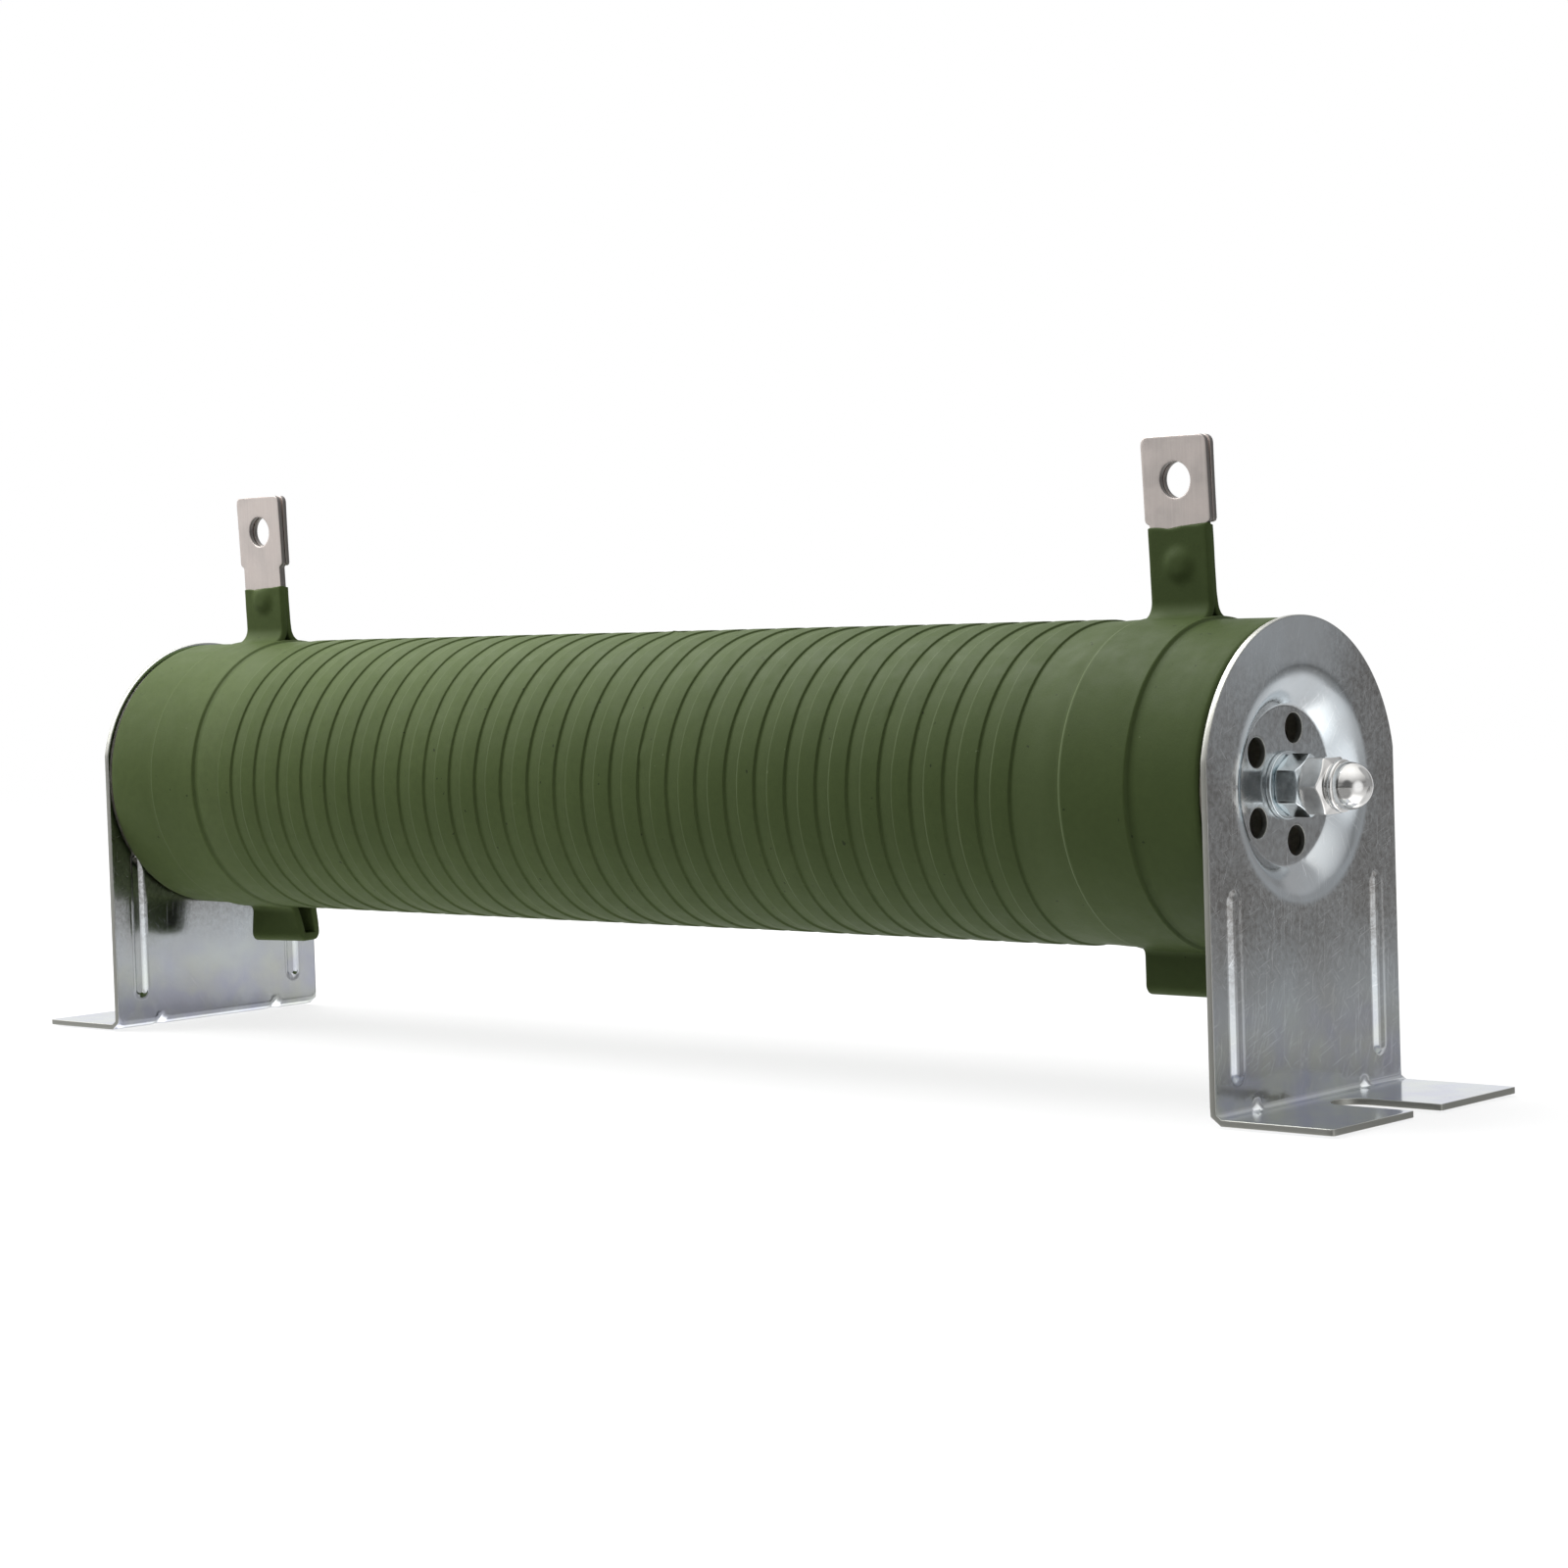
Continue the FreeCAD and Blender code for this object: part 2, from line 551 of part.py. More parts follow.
def cap_nut():
    """Hexagon, narrower collar and ball-shaped top, turned against the nut below it."""
    dome = CAP_DOME_DIAMETER / 2
    hex_top = NUT_TOP_X + CAP_HEX_HEIGHT
    collar_top = hex_top + CAP_COLLAR_HEIGHT
    dome_x = NUT_TOP_X + CAP_HEIGHT - dome
    nut = hexagon(NUT_TOP_X, hex_top, HEX_TURN + CAP_TURN)
    collar = cylinder_x(CAP_COLLAR_DIAMETER / 2, hex_top - 1, collar_top + dome / 2)
    wall = cylinder_x(dome, collar_top, dome_x)
    ball = Part.makeSphere(dome, V(dome_x, 0, AXIS_HEIGHT), V(1, 0, 0), 0, 90, 360)
    nut = nut.multiFuse([collar, wall, ball])
    bore = ROD_DIAMETER / 2 + THREAD_CLEARANCE
    return nut.cut(cylinder_x(bore, NUT_TOP_X - 1, NUT_TOP_X + CAP_THREAD_DEPTH))


def through_rod():
    return cylinder_x(ROD_DIAMETER / 2, -ROD_END_X, ROD_END_X)


def write(name, shape):
    shape.exportStep("parts/" + name + ".step")
    print(name, "valid", shape.isValid(), "solids", len(shape.Solids),
          "faces", len(shape.Faces), "volume", round(shape.Volume, 1))


def main():
    os.makedirs("parts", exist_ok=True)
    strap_left = terminal_strap(-BAND_X, EAR_SHIFT_LEFT)
    strap_right = terminal_strap(BAND_X, EAR_SHIFT_RIGHT)
    write("ceramic_tube", ceramic_tube())
    write("resistance_ribbon", resistance_ribbon())
    for side, strap in (("left", strap_left), ("right", strap_right)):
        band, lug = band_and_lug(strap)
        write("terminal_band_" + side, band)
        write("terminal_lug_" + side, lug)
    write("silicone_coating", silicone_coating([strap_left, strap_right]))
    write("through_rod", through_rod())
    for name, maker in (("gasket", gasket), ("bracket", bracket), ("washer", washer),
                        ("hex_nut", hex_nut), ("cap_nut", cap_nut)):
        shape = maker()
        write(name + "_right", shape)
        write(name + "_left", mirrored(shape))


main()
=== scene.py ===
"""Looks of the tubular wire-wound resistor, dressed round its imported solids.

Numbers are millimetres in the part's frame, with X along the tube; meshes are scaled to metres
when they are made. The right-hand end is built first and mirrored where both ends are alike.
"""

import math

import bmesh
import bpy
import numpy as np
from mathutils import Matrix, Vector, noise
from mathutils.geometry import delaunay_2d_cdt


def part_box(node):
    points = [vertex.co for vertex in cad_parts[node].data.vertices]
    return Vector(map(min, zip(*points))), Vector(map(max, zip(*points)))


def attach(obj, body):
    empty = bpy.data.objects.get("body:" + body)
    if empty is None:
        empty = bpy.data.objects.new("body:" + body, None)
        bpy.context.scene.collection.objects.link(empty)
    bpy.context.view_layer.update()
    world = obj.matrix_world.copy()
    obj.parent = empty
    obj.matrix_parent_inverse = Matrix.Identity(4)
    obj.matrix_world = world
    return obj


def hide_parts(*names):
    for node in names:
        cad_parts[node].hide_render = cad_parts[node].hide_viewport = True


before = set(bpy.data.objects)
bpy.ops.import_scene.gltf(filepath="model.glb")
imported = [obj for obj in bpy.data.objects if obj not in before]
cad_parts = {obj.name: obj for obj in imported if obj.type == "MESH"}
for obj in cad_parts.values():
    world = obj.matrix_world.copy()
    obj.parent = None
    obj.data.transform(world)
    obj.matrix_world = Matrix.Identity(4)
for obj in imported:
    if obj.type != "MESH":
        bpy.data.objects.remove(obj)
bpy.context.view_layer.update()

MM = 0.001
TURN = 2 * math.pi


def cad_box(node):
    """Lowest and highest corner of a CAD node, in millimetres."""
    return [[v / MM for v in corner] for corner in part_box(node)]


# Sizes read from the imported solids
tube_low, tube_high = cad_box("ceramic_tube")
lug_low, lug_high = cad_box("terminal_lug_right")
TUBE_RADIUS = (tube_high[2] - tube_low[2]) / 2
AXIS_Z = (tube_high[2] + tube_low[2]) / 2
COAT_END, CREST_RADIUS = cad_box("silicone_coating")[1][:2]
PLATE_X = cad_box("gasket_right")[1][0]
FOOT_END_X, BRACKET_HALF, BRACKET_TOP = cad_box("bracket_right")[1]
BAND_X = (lug_low[0] + lug_high[0]) / 2
LUG_TOP = lug_high[2]
HEAD_HALF = (lug_high[0] - lug_low[0]) / 2
DISH_FLOOR_X = cad_box("washer_right")[0][0]
WASHER_TOP_X, WASHER_RADIUS = cad_box("washer_right")[1][:2]
NUT_TOP_X, NUT_APOTHEM = cad_box("hex_nut_right")[1][:2]
CAP_TIP_X = cad_box("cap_nut_right")[1][0]
ROD_RADIUS = cad_box("through_rod")[1][1]

# Winding under the coating: its angle runs from the back, down under the tube and up the front
PITCH = 7.69
TURNS = 29
WINDING_START_X = -112.9
RIDGE_TOP_HALF = 2.02
RIDGE_BASE_HALF = 2.36
RIDGE_HEIGHT = 0.36
RIDGE_RUN_OUT = 0.25
RIDGE_BELOW_CREST = 0.28
LEAD_HEIGHT = 0.45
LEAD_HALF = 2.6
LEAD_TOP_HALF = 1.9
GROOVE_RADIUS = CREST_RADIUS - RIDGE_HEIGHT - RIDGE_BELOW_CREST

# Coating over the bands
BAND_HALF = 6.95
BAND_COVER = 0.6
BAND_SLOPE_INNER = 0.75
BAND_SLOPE_OUTER = 0.7
COAT_SKIN = 0.45
NECK_COVER_HALF = 6.9
EAR_COVER_HALF = 6.95

# Coat beads and pinholes: x, angle in degrees, size and height
LUMPS = [(-73.5, 236.9, 0.7, 0.35), (-58.1, 234.3, 0.7, 0.35), (-49.9, 247.6, 0.8, 0.4),
         (-49.8, 255.7, 0.7, 0.4), (-42.9, 231.2, 0.7, 0.3), (-14.9, 247.0, 0.7, 0.35),
         (10.3, 206.2, 0.9, 0.45), (17.3, 193.2, 0.9, 0.5), (2.9, 264.0, 1.0, 0.4),
         (43.0, 266.0, 0.9, 0.35), (103.2, 222.4, 0.7, 0.3), (-43.1, 175.7, 0.35, -0.3),
         (0.5, 202.3, 0.35, -0.3), (78.2, 207.7, 0.4, -0.35), (87.7, 178.6, 0.4, -0.3),
         (60.0, 133.2, 0.5, -0.45), (111.7, 161.7, 0.5, 0.25), (-80.0, 60.0, 0.8, 0.4),
         (30.0, 40.0, 0.9, 0.4), (70.0, 330.0, 0.8, 0.4)]

# Lugs and ears of the terminal bands
STRAP = 1.0
LAYER_GAP = 0.35
NECK_HALF = 6.2
BACK_NECK_NARROWER = 0.8
BACK_COVER_NARROWER = 0.4
LUG_FOOT_ABOVE_AXIS = 34
HEAD_LENGTH = 15.9
HEAD_CORNER = 1.5
HEAD_SHOULDER = 0.9
LUG_HOLE_RADIUS = 3.35
LUG_HOLE_BELOW_TOP = 8.0
ROOT_RADIUS = 3.2
BOSS_RADIUS = 3.1
BOSS_HEIGHT = 0.95
BOSS_BELOW_HEAD = 7.5
DIMPLE_SHARE = 0.35
EAR_DEPTH = 6.4
EAR_BOTTOM = 19.2
EAR_ROOT_RADIUS = 1.5
EAR_CORNER_RADIUS = 1.9

# Brackets
SHEET = 1.2
BEND_RADIUS = 1.0
SLOT_HALF = 4.45
SLOT_DEPTH = 19.0
DISH_RIM = 21.2
DISH_WALL_RADIUS = 7.9
VENT_RADIUS = 2.72
VENT_CIRCLE = 10.6
VENT_COUNT = 5
ROD_HOLE_RADIUS = 3.3
BEAD_Y = 22.7
BEAD_HALF = 2.25
BEAD_HEIGHT = 0.75
BEAD_BOTTOM = 6.3
BEAD_TOP = 40.5
DART_Y = 17.2
DART_HALF = 1.9
DART_LEG = 2.7
DART_SHARE = 0.48
FACE_X = PLATE_X + SHEET
DISH_DEPTH = FACE_X - DISH_FLOOR_X
DISH_FLOOR_RADIUS = DISH_RIM - math.sqrt(DISH_WALL_RADIUS ** 2 - (DISH_WALL_RADIUS - DISH_DEPTH) ** 2)
BEND_TOP = SHEET + BEND_RADIUS
BEND_FOOT = BEND_TOP - BEND_RADIUS * math.pi / 2
FOOT_V = BEND_FOOT - (FOOT_END_X - FACE_X - BEND_RADIUS)

# Nuts
THREAD_CLEARANCE = 0.05
CAP_HEX_HEIGHT = 4.9
CAP_DOME_RADIUS = 4.25
CAP_BORE_DEPTH = 7.6

# Rounding of cut edges, gap at seats, and the angles in degrees above which edges are sharp
ROUNDING = 0.14
SLIVER = 0.01
SHEET_CREASE = 50
TURNED_CREASE = 38


# Small maths

def smooth_step(low, high, value):
    t = np.clip((value - low) / (high - low), 0.0, 1.0)
    return t * t * (3 - 2 * t)


def smooth_max(a, b, blend):
    h = np.clip(0.5 + 0.5 * (a - b) / blend, 0.0, 1.0)
    return b + (a - b) * h + blend * h * (1 - h)


def smooth_min(a, b, blend):
    return -smooth_max(-a, -b, blend)


def noise_field(points, size, seed):
    """Smooth noise of about -1 to 1 at each point; size is that of its blobs."""
    offset = Vector((seed * 17.3, seed * 5.1, seed * 9.7))
    return np.array([noise.noise(Vector(p) / size + offset) for p in points])


# Mesh making

def add_object(name, data):
    made = bpy.data.objects.new(name, data)
    bpy.context.scene.collection.objects.link(made)
    return made


def add_piece(name, vertices, faces, material, slot, replaces=(), marks=None, sharp=None):
    """A piece from millimetre coordinates; marks tell its material of cut edges, or of painted shade and
    painted highlights on the coating.
    """
    mesh = bpy.data.meshes.new(name)
    mesh.from_pydata([tuple(c * MM for c in v) for v in vertices], [], faces)
    edit = bmesh.new()
    edit.from_mesh(mesh)
    bmesh.ops.recalc_face_normals(edit, faces=edit.faces)
    edit.to_mesh(mesh)
    edit.free()
    mesh.shade_smooth()
    if sharp:
        mesh.set_sharp_from_angle(angle=math.radians(sharp))
    if marks is not None:
        layer = mesh.attributes.new("mark", "FLOAT", "POINT")
        layer.data.foreach_set("value", [float(m) for m in marks])
    mesh.materials.append(material)
    piece = add_object(name, mesh)
    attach(piece, "root")
    if replaces:
        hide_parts(*replaces)
    return piece


def grid_faces(rows, columns, close_rows=False, close_columns=False):
    faces = []
    for i in range(rows if close_rows else rows - 1):
        for j in range(columns if close_columns else columns - 1):
            a, b = i * columns, (i + 1) % rows * columns
            k = (j + 1) % columns
            faces.append((a + j, a + k, b + k, b + j))
    return faces


def on_side(vertices, side):
    """Vertices of the right-hand end, mirrored where side is -1."""
    return [(side * x, y, z) for x, y, z in vertices]


# Coating over tube and winding

def coat_radius(x, angle, points):
    """Outside radius at each x and winding angle, and a mark of painted light: above 0 for painted shade
    in creases and at band edges, below 0 for painted highlights on ridge edges and in grooves.
    """
    along = (x - WINDING_START_X) / PITCH - angle / TURN
    turn = np.clip(np.round(along), 0, TURNS - 1)
    distance = (along - turn) * PITCH
    travelled = turn + angle / TURN
    fade = smooth_step(0, RIDGE_RUN_OUT, travelled) * smooth_step(0, RIDGE_RUN_OUT, TURNS - travelled)
    ridge = RIDGE_HEIGHT * smooth_step(RIDGE_BASE_HALF, RIDGE_TOP_HALF, np.abs(distance))
    ridge = ridge * fade * (1 + 0.12 * noise_field(points, 33.0, 2))
    around = TUBE_RADIUS * np.minimum(angle, TURN - angle)
    outside = (x < WINDING_START_X + 1) | (x > WINDING_START_X + TURNS * PITCH - 1)
    lead = LEAD_HEIGHT * smooth_step(LEAD_HALF, LEAD_TOP_HALF, around) * outside
    ridge = np.maximum(ridge, lead)
    inner = smooth_step(BAND_X - BAND_HALF - BAND_SLOPE_INNER, BAND_X - BAND_HALF, np.abs(x))
    outer = smooth_step(BAND_X + BAND_HALF + BAND_SLOPE_OUTER, BAND_X + BAND_HALF, np.abs(x))
    radius = GROOVE_RADIUS + ridge * (1 - inner) + BAND_COVER * inner * outer
    swell = 0.2 * np.exp(-((np.abs(x) - BAND_X + BAND_HALF + 3) / 3.2) ** 2)
    radius = radius + swell * (1 - inner)
    radius = radius + 0.045 * noise_field(points, 9.0, 3) + 0.02 * noise_field(points, 3.0, 4)
    sine = np.sin(angle)
    # Painted shade: a dark line at the foot of each ridge's right-hand flank, fainter on the top and
    # underside of the tube
    foot = np.exp(-((distance - RIDGE_BASE_HALF + 0.08) / 0.25) ** 2)
    foot = foot * (0.92 - sine ** 2 * np.where(sine < 0, 0.5, 0.3))
    # Painted highlight: a pale line along the left-hand edge of each ridge's top
    brow = np.exp(-((distance + RIDGE_TOP_HALF + 0.1) / 0.2) ** 2)
    patchy = 0.75 + 0.5 * noise_field(points, 12.0, 8)
    # Painted shade across each ridge's top, darker towards its right-hand edge, and painted light in the
    # grooves
    crown = 0.20 * smooth_step(-1.6, 2.1, distance) * (np.abs(distance) < RIDGE_BASE_HALF)
    groove = 0.12 * smooth_step(RIDGE_TOP_HALF, RIDGE_BASE_HALF, np.abs(distance))
    mark = (foot * patchy - 0.8 * brow * (1.5 - patchy) + crown - groove) * fade * (1 - inner)
    # Painted shade lines at the right-hand edge of each band's coat and painted highlight lines at its
    # left-hand edge
    for at_x, depth, width in ((BAND_X + BAND_HALF + 0.6, 1.0, 0.26),
                               (BAND_HALF + 0.6 - BAND_X, 1.5, 0.38),
                               (BAND_X - BAND_HALF - 0.2, -0.8, 0.26),
                               (-BAND_X - BAND_HALF - 0.2, -0.6, 0.26)):
        mark = mark + depth * np.exp(-((x - at_x) / width) ** 2)
    return radius, mark


def lumps(x, angle, radius):
    """The coating's radius with its beads and pinholes."""
    for at_x, degrees, size, height in LUMPS:
        across = (angle - math.radians(degrees) + math.pi) % TURN - math.pi
        distance = np.hypot(x - at_x, across * TUBE_RADIUS)
        radius = radius + height * np.exp(-(distance / size) ** 2)
    return radius


def coat_columns():
    """Places along X of the grid's columns at angle 0, and how far each follows the winding."""
    steps = [0.7, 1.3, 1.75, 1.98, 2.06, 2.13, 2.19, 2.25, 2.32, 2.4, 2.56, 2.9]
    steps = [-step for step in steps[::-1]] + [0.0] + steps
    columns = [WINDING_START_X + PITCH * turn + step for turn in range(TURNS) for step in steps]
    plain = []
    edge, far = BAND_X - BAND_HALF, BAND_X + BAND_HALF
    for start, end, count in ((edge - BAND_SLOPE_INNER, edge, 6), (edge, edge + 1, 3),
                              (edge + 1, far - 0.5, 7), (far - 0.5, far, 3),
                              (far, far + BAND_SLOPE_OUTER, 6),
                              (far + BAND_SLOPE_OUTER, COAT_END - 0.8, 9)):
        plain += list(np.linspace(start, end, count, endpoint=False))
    left = [-x for x in plain[::-1]]
    stretches = [(left, 0), (np.linspace(left[-1], columns[0], 8)[1:-1], np.linspace(0, 1, 8)[1:-1]),
                 (columns, 1), (np.linspace(columns[-1], plain[0], 16)[1:-1],
                                np.linspace(1, 0, 16)[1:-1]), (plain, 0)]
    return (np.concatenate([places for places, _ in stretches]),
            np.concatenate([np.zeros(len(places)) + share for places, share in stretches]))


def silicone_coat(material):
    rows = 120
    angles = np.arange(rows) * TURN / rows
    columns, follow = coat_columns()
    x, angle = np.meshgrid(columns, angles)
    x = x + PITCH * angle / TURN * follow[None, :]
    shape = x.shape
    x, angle = x.ravel(), angle.ravel()
    flat = np.stack([x, TUBE_RADIUS * np.cos(angle), -TUBE_RADIUS * np.sin(angle)], axis=1)
    radius, painted_light_mark = coat_radius(x, angle, flat)
    radius, painted_light_mark = lumps(x, angle, radius).reshape(shape), painted_light_mark.reshape(shape)
    inside = smooth_step(BAND_X - BAND_HALF - 2, BAND_X - BAND_HALF - 8, np.abs(x))
    wander = 0.22 * noise_field(flat, 26.0, 1) + 0.07 * noise_field(flat, 7.0, 6)
    x = (x - wander * inside).reshape(shape)
    corner = np.array([(COAT_END - 0.8, 0.0), (COAT_END - 0.3, 0.12), (COAT_END - 0.05, 0.4),
                       (COAT_END, GROOVE_RADIUS - TUBE_RADIUS)])
    along = np.tile(corner[:, 0], (rows, 1))
    xs = np.hstack([-along[:, ::-1], x, along])
    rs = np.hstack([radius[:, :1] - corner[::-1, 1], radius, radius[:, -1:] - corner[:, 1]])
    count = xs.shape[1]
    full = np.repeat(angles[:, None], count, axis=1)
    vertices = np.stack([xs, rs * np.cos(full), AXIS_Z - rs * np.sin(full)], axis=2)
    faces = grid_faces(rows, count, close_columns=True)
    faces += zip_rows(xs[-1], (rows - 1) * count, xs[0])
    faces.append(((rows - 1) * count, 0, count - 1, rows * count - 1))
    # Marks of painted shade and painted highlights, none on the coat's rounded ends
    ends = np.zeros((rows, len(corner)))
    marks = np.column_stack([ends, np.clip(painted_light_mark, -1, 1), ends])
    add_piece("silicone_coat", vertices.reshape(-1, 3), faces, material, "green_silicone",
              ["silicone_coating"], marks.ravel())


def zip_rows(row, row_start, first):
    """Triangles between a row of vertices and the first row, whose places along X differ."""
    faces = []
    i = j = 0
    while i < len(row) - 1 or j < len(first) - 1:
        if j == len(first) - 1 or (i < len(row) - 1 and row[i + 1] <= first[j + 1]):
            faces.append((row_start + i, row_start + i + 1, j))
            i += 1
        else:
            faces.append((row_start + i, j + 1, j))
            j += 1
    return faces


# Coated straps: a rounded strip that follows a line in the YZ plane

def arc_points(centre, radius, start, end, spacing=0.35):
    count = max(3, int(abs(end - start) * radius / spacing))
    return [(centre[0] + radius * math.cos(a), centre[1] + radius * math.sin(a))
            for a in np.linspace(start, end, count)]


def line_points(start, end, spacing=0.45):
    count = max(2, int(math.dist(start, end) / spacing))
    return [tuple(p) for p in np.linspace(start, end, count)]


def join(parts):
    """One line from several that follow on, without doubled points."""
    line = []
    for part in parts:
        for point in part:
            if not line or math.dist(line[-1], point) > 0.02:
                line.append(point)
    return line


def bend_centre(wall_y, side, radius, ring, below):
    """Centre of the bend between a round of radius ring and an upright wall."""
    y = wall_y + side * radius
    rise = math.sqrt((ring + radius) ** 2 - y * y)
    return y, AXIS_Z + (-rise if below else rise)


def strip_section(half, low, high, rounding):
    """Rounded cross-section as (across, outwards, whether it is on the outside)."""
    points = []
    for side, level, start, count in ((1, low, -90, 0), (1, high, 0, 27), (-1, high, 90, 0),
                                      (-1, low, 180, 7)):
        outside = level == high
        inset = rounding if outside else rounding * 0.6
        middle = side * (half - inset)
        for k in range(4):
            a = math.radians(start + 30 * k)
            rise = level + (-inset if outside else inset) + inset * math.sin(a)
            points.append((middle + inset * math.cos(a), rise, outside))
        points += [(across, level, outside) for across in np.linspace(middle, -middle, count)[1:-1]]
    return points


def strip(line, half, low, high, rounding, shape):
    """Solid strip along a line of (y, z) points; shape moves its vertices."""
    vertices = []
    for i, point in enumerate(line):
        before, after = line[max(i - 1, 0)], line[min(i + 1, len(line) - 1)]
        ty, tz = after[0] - before[0], after[1] - before[1]
        length = math.hypot(ty, tz)
        ny, nz = -tz / length, ty / length
        share = i / (len(line) - 1)
        section = strip_section(half(share), low(share), high(share), rounding)
        count = len(section)
        for across, out, outside in section:
            vertex = (across, point[0] + ny * out, point[1] + nz * out)
            vertices.append(shape(vertex, outside))
    faces = grid_faces(len(line), count, close_columns=True)
    faces += [tuple(range(count)), tuple(range((len(line) - 1) * count, len(line) * count))]
    return vertices, faces


def neck_cover(side, x, coat_top, lean, cover_half):
    """Coating over one layer of a lug's neck: side -1 is the front layer, 1 the back one."""
    ring = GROOVE_RADIUS + BAND_COVER
    wall = side * (LAYER_GAP / 2 + STRAP + COAT_SKIN)
    cy, cz = bend_centre(wall, side, ROOT_RADIUS, ring, False)
    bearing = math.atan2(cz - AXIS_Z, cy)
    top = coat_top - 0.25
    line = join([arc_points((0, AXIS_Z), ring, bearing - side * 0.55, bearing),
                 arc_points((cy, cz), ROOT_RADIUS, bearing - math.pi, -math.pi if side > 0 else 0.0),
                 line_points((wall, cz), (wall, top)),
                 line_points((wall, top), (wall, coat_top), 0.08)])
    if side > 0:
        line = line[::-1]
    thick = STRAP + COAT_SKIN + LAYER_GAP / 2 - 0.06

    def end_share(share):
        return 1 - share if side > 0 else share

    def half(share):
        s = end_share(share)
        narrowing = NECK_COVER_HALF - cover_half + (side > 0) * BACK_COVER_NARROWER
        return NECK_COVER_HALF - narrowing * smooth_step(0.2, 0.45, s) - 0.2 * smooth_step(0.985, 1.0, s)

    def high(share):
        s = end_share(share)
        return -0.35 * (1 - smooth_step(0.0, 0.25, s)) - 0.28 * smooth_step(0.985, 1.0, s)

    boss_z = LUG_TOP - HEAD_LENGTH - BOSS_BELOW_HEAD

    def shape(vertex, outside):
        vx, vy, vz = vertex
        rise = smooth_step(cz - 2, coat_top, vz)
        vz += rise * (0.35 * math.sin(vx * 0.33 + 0.8 * side) + 0.12 * math.sin(vx * 1.1))
        if outside:
            distance = math.hypot(vx, vz - boss_z) / BOSS_RADIUS
            boss = BOSS_HEIGHT * math.exp(-(distance * 1.15) ** 4 * 0.9) if distance < 2 else 0.0
            vy -= boss if side < 0 else DIMPLE_SHARE * boss
            vy += 0.05 * noise.noise(Vector((vx / 4, vz / 4, side * 3.0)))
        vx += x - math.tan(lean) * (vz - cz) * (vz > cz)
        vx -= (side > 0) * 0.2 * smooth_step(cz - 1, cz + 2, vz)
        return vx, vy, vz

    return strip(line, half, lambda s: high(s) - thick, high, 0.5, shape)


def ear_cover(x, shift, twist, lean):
    """Coating round the folded ear below the tube, as one strip that leaves and rejoins the band."""
    ring = GROOVE_RADIUS + BAND_COVER
    front, back = shift - EAR_DEPTH / 2 - COAT_SKIN, shift + EAR_DEPTH / 2 + COAT_SKIN
    floor_z = EAR_BOTTOM + EAR_DEPTH / 2
    root, corner = EAR_ROOT_RADIUS, EAR_CORNER_RADIUS
    back_centre = bend_centre(back, 1, root, ring, True)
    front_centre = bend_centre(front, -1, root, ring, True)
    back_bearing = math.atan2(back_centre[1] - AXIS_Z, back_centre[0])
    front_bearing = math.atan2(front_centre[1] - AXIS_Z, front_centre[0])
    bottom = EAR_BOTTOM - COAT_SKIN
    line = join([
        arc_points((0, AXIS_Z), ring, back_bearing + 0.4, back_bearing),
        arc_points(back_centre, root, back_bearing + math.pi, math.pi),
        line_points((back, back_centre[1]), (back, bottom + corner)),
        arc_points((back - corner, bottom + corner), corner, 0.0, -math.pi / 2, 0.25),
        line_points((back - corner, bottom), (front + corner, bottom)),
        arc_points((front + corner, bottom + corner), corner, -math.pi / 2, -math.pi, 0.25),
        line_points((front, bottom + corner), (front, front_centre[1])),
        arc_points(front_centre, root, 0.0, front_bearing + math.pi),
        arc_points((0, AXIS_Z), ring, front_bearing, front_bearing - 0.4)])

    def shape(vertex, outside):
        vx, vy, vz = vertex
        drop = max(0.0, floor_z + 6 - vz)
        turn = twist * smooth_step(AXIS_Z - TUBE_RADIUS, EAR_BOTTOM, vz)
        dy = vy - shift
        across = vx * math.cos(turn) - dy * math.sin(turn)
        vy = shift + vx * math.sin(turn) + dy * math.cos(turn)
        vx = across + x + math.tan(lean) * drop
        vy += 0.08 * noise.noise(Vector((vx / 5, vz / 5, 7.0)))
        return vx, vy, vz

    def high(share):
        return -0.35 * (1 - smooth_step(0.0, 0.12, share) * smooth_step(1.0, 0.88, share))

    return strip(line, lambda s: EAR_COVER_HALF, lambda s: high(s) - STRAP - 2 * COAT_SKIN, high,
                 0.45, shape)


# Pressed sheet metal: a flat pattern with holes, shaped by a surface function

def loop_circle(centre, radius, count):
    """Round hole as points with the normals that lead out of the sheet."""
    points = []
    for k in range(count):
        a = TURN * k / count
        direction = np.array([math.cos(a), math.sin(a)])
        points.append((np.array(centre) + radius * direction, -direction))
    return points


def loop_path(corners, spacing):
    """Closed outline from (point, corner radius) pairs, run anticlockwise, with outward normals."""
    points = []
    count = len(corners)
    places = [np.array(place, float) for place, _ in corners]
    steps_on = [places[(i + 1) % count] - places[i] for i in range(count)]
    headings = [step / np.linalg.norm(step) for step in steps_on]
    turns = [math.atan2(enter[0] * leave[1] - enter[1] * leave[0], float(enter @ leave))
             for enter, leave in zip([headings[-1]] + headings, headings)]
    for i, (_, radius) in enumerate(corners):
        here, enter, leave, turn = places[i], headings[i - 1], headings[i], turns[i]
        after, next_radius = places[(i + 1) % count], corners[(i + 1) % count][1]
        trim = radius * math.tan(abs(turn) / 2)
        side = math.copysign(1.0, turn)
        inward = np.array([-enter[1], enter[0]]) * side
        centre = here - enter * trim + inward * radius
        steps = max(2, int(abs(turn) * radius / min(spacing, 0.5))) if radius else 1
        for k in range(steps + 1):
            a = turn * k / steps
            rotation = np.array([[math.cos(a), -math.sin(a)], [math.sin(a), math.cos(a)]])
            outward = rotation @ (-inward)
            points.append((centre + outward * radius, outward * side))
        end = after - leave * next_radius * math.tan(abs(turns[(i + 1) % count]) / 2)
        begin = here + leave * trim
        pieces = int(np.linalg.norm(end - begin) / spacing)
        normal = np.array([leave[1], -leave[0]])
        for k in range(1, pieces):
            points.append((begin + (end - begin) * k / pieces, normal))
    return points


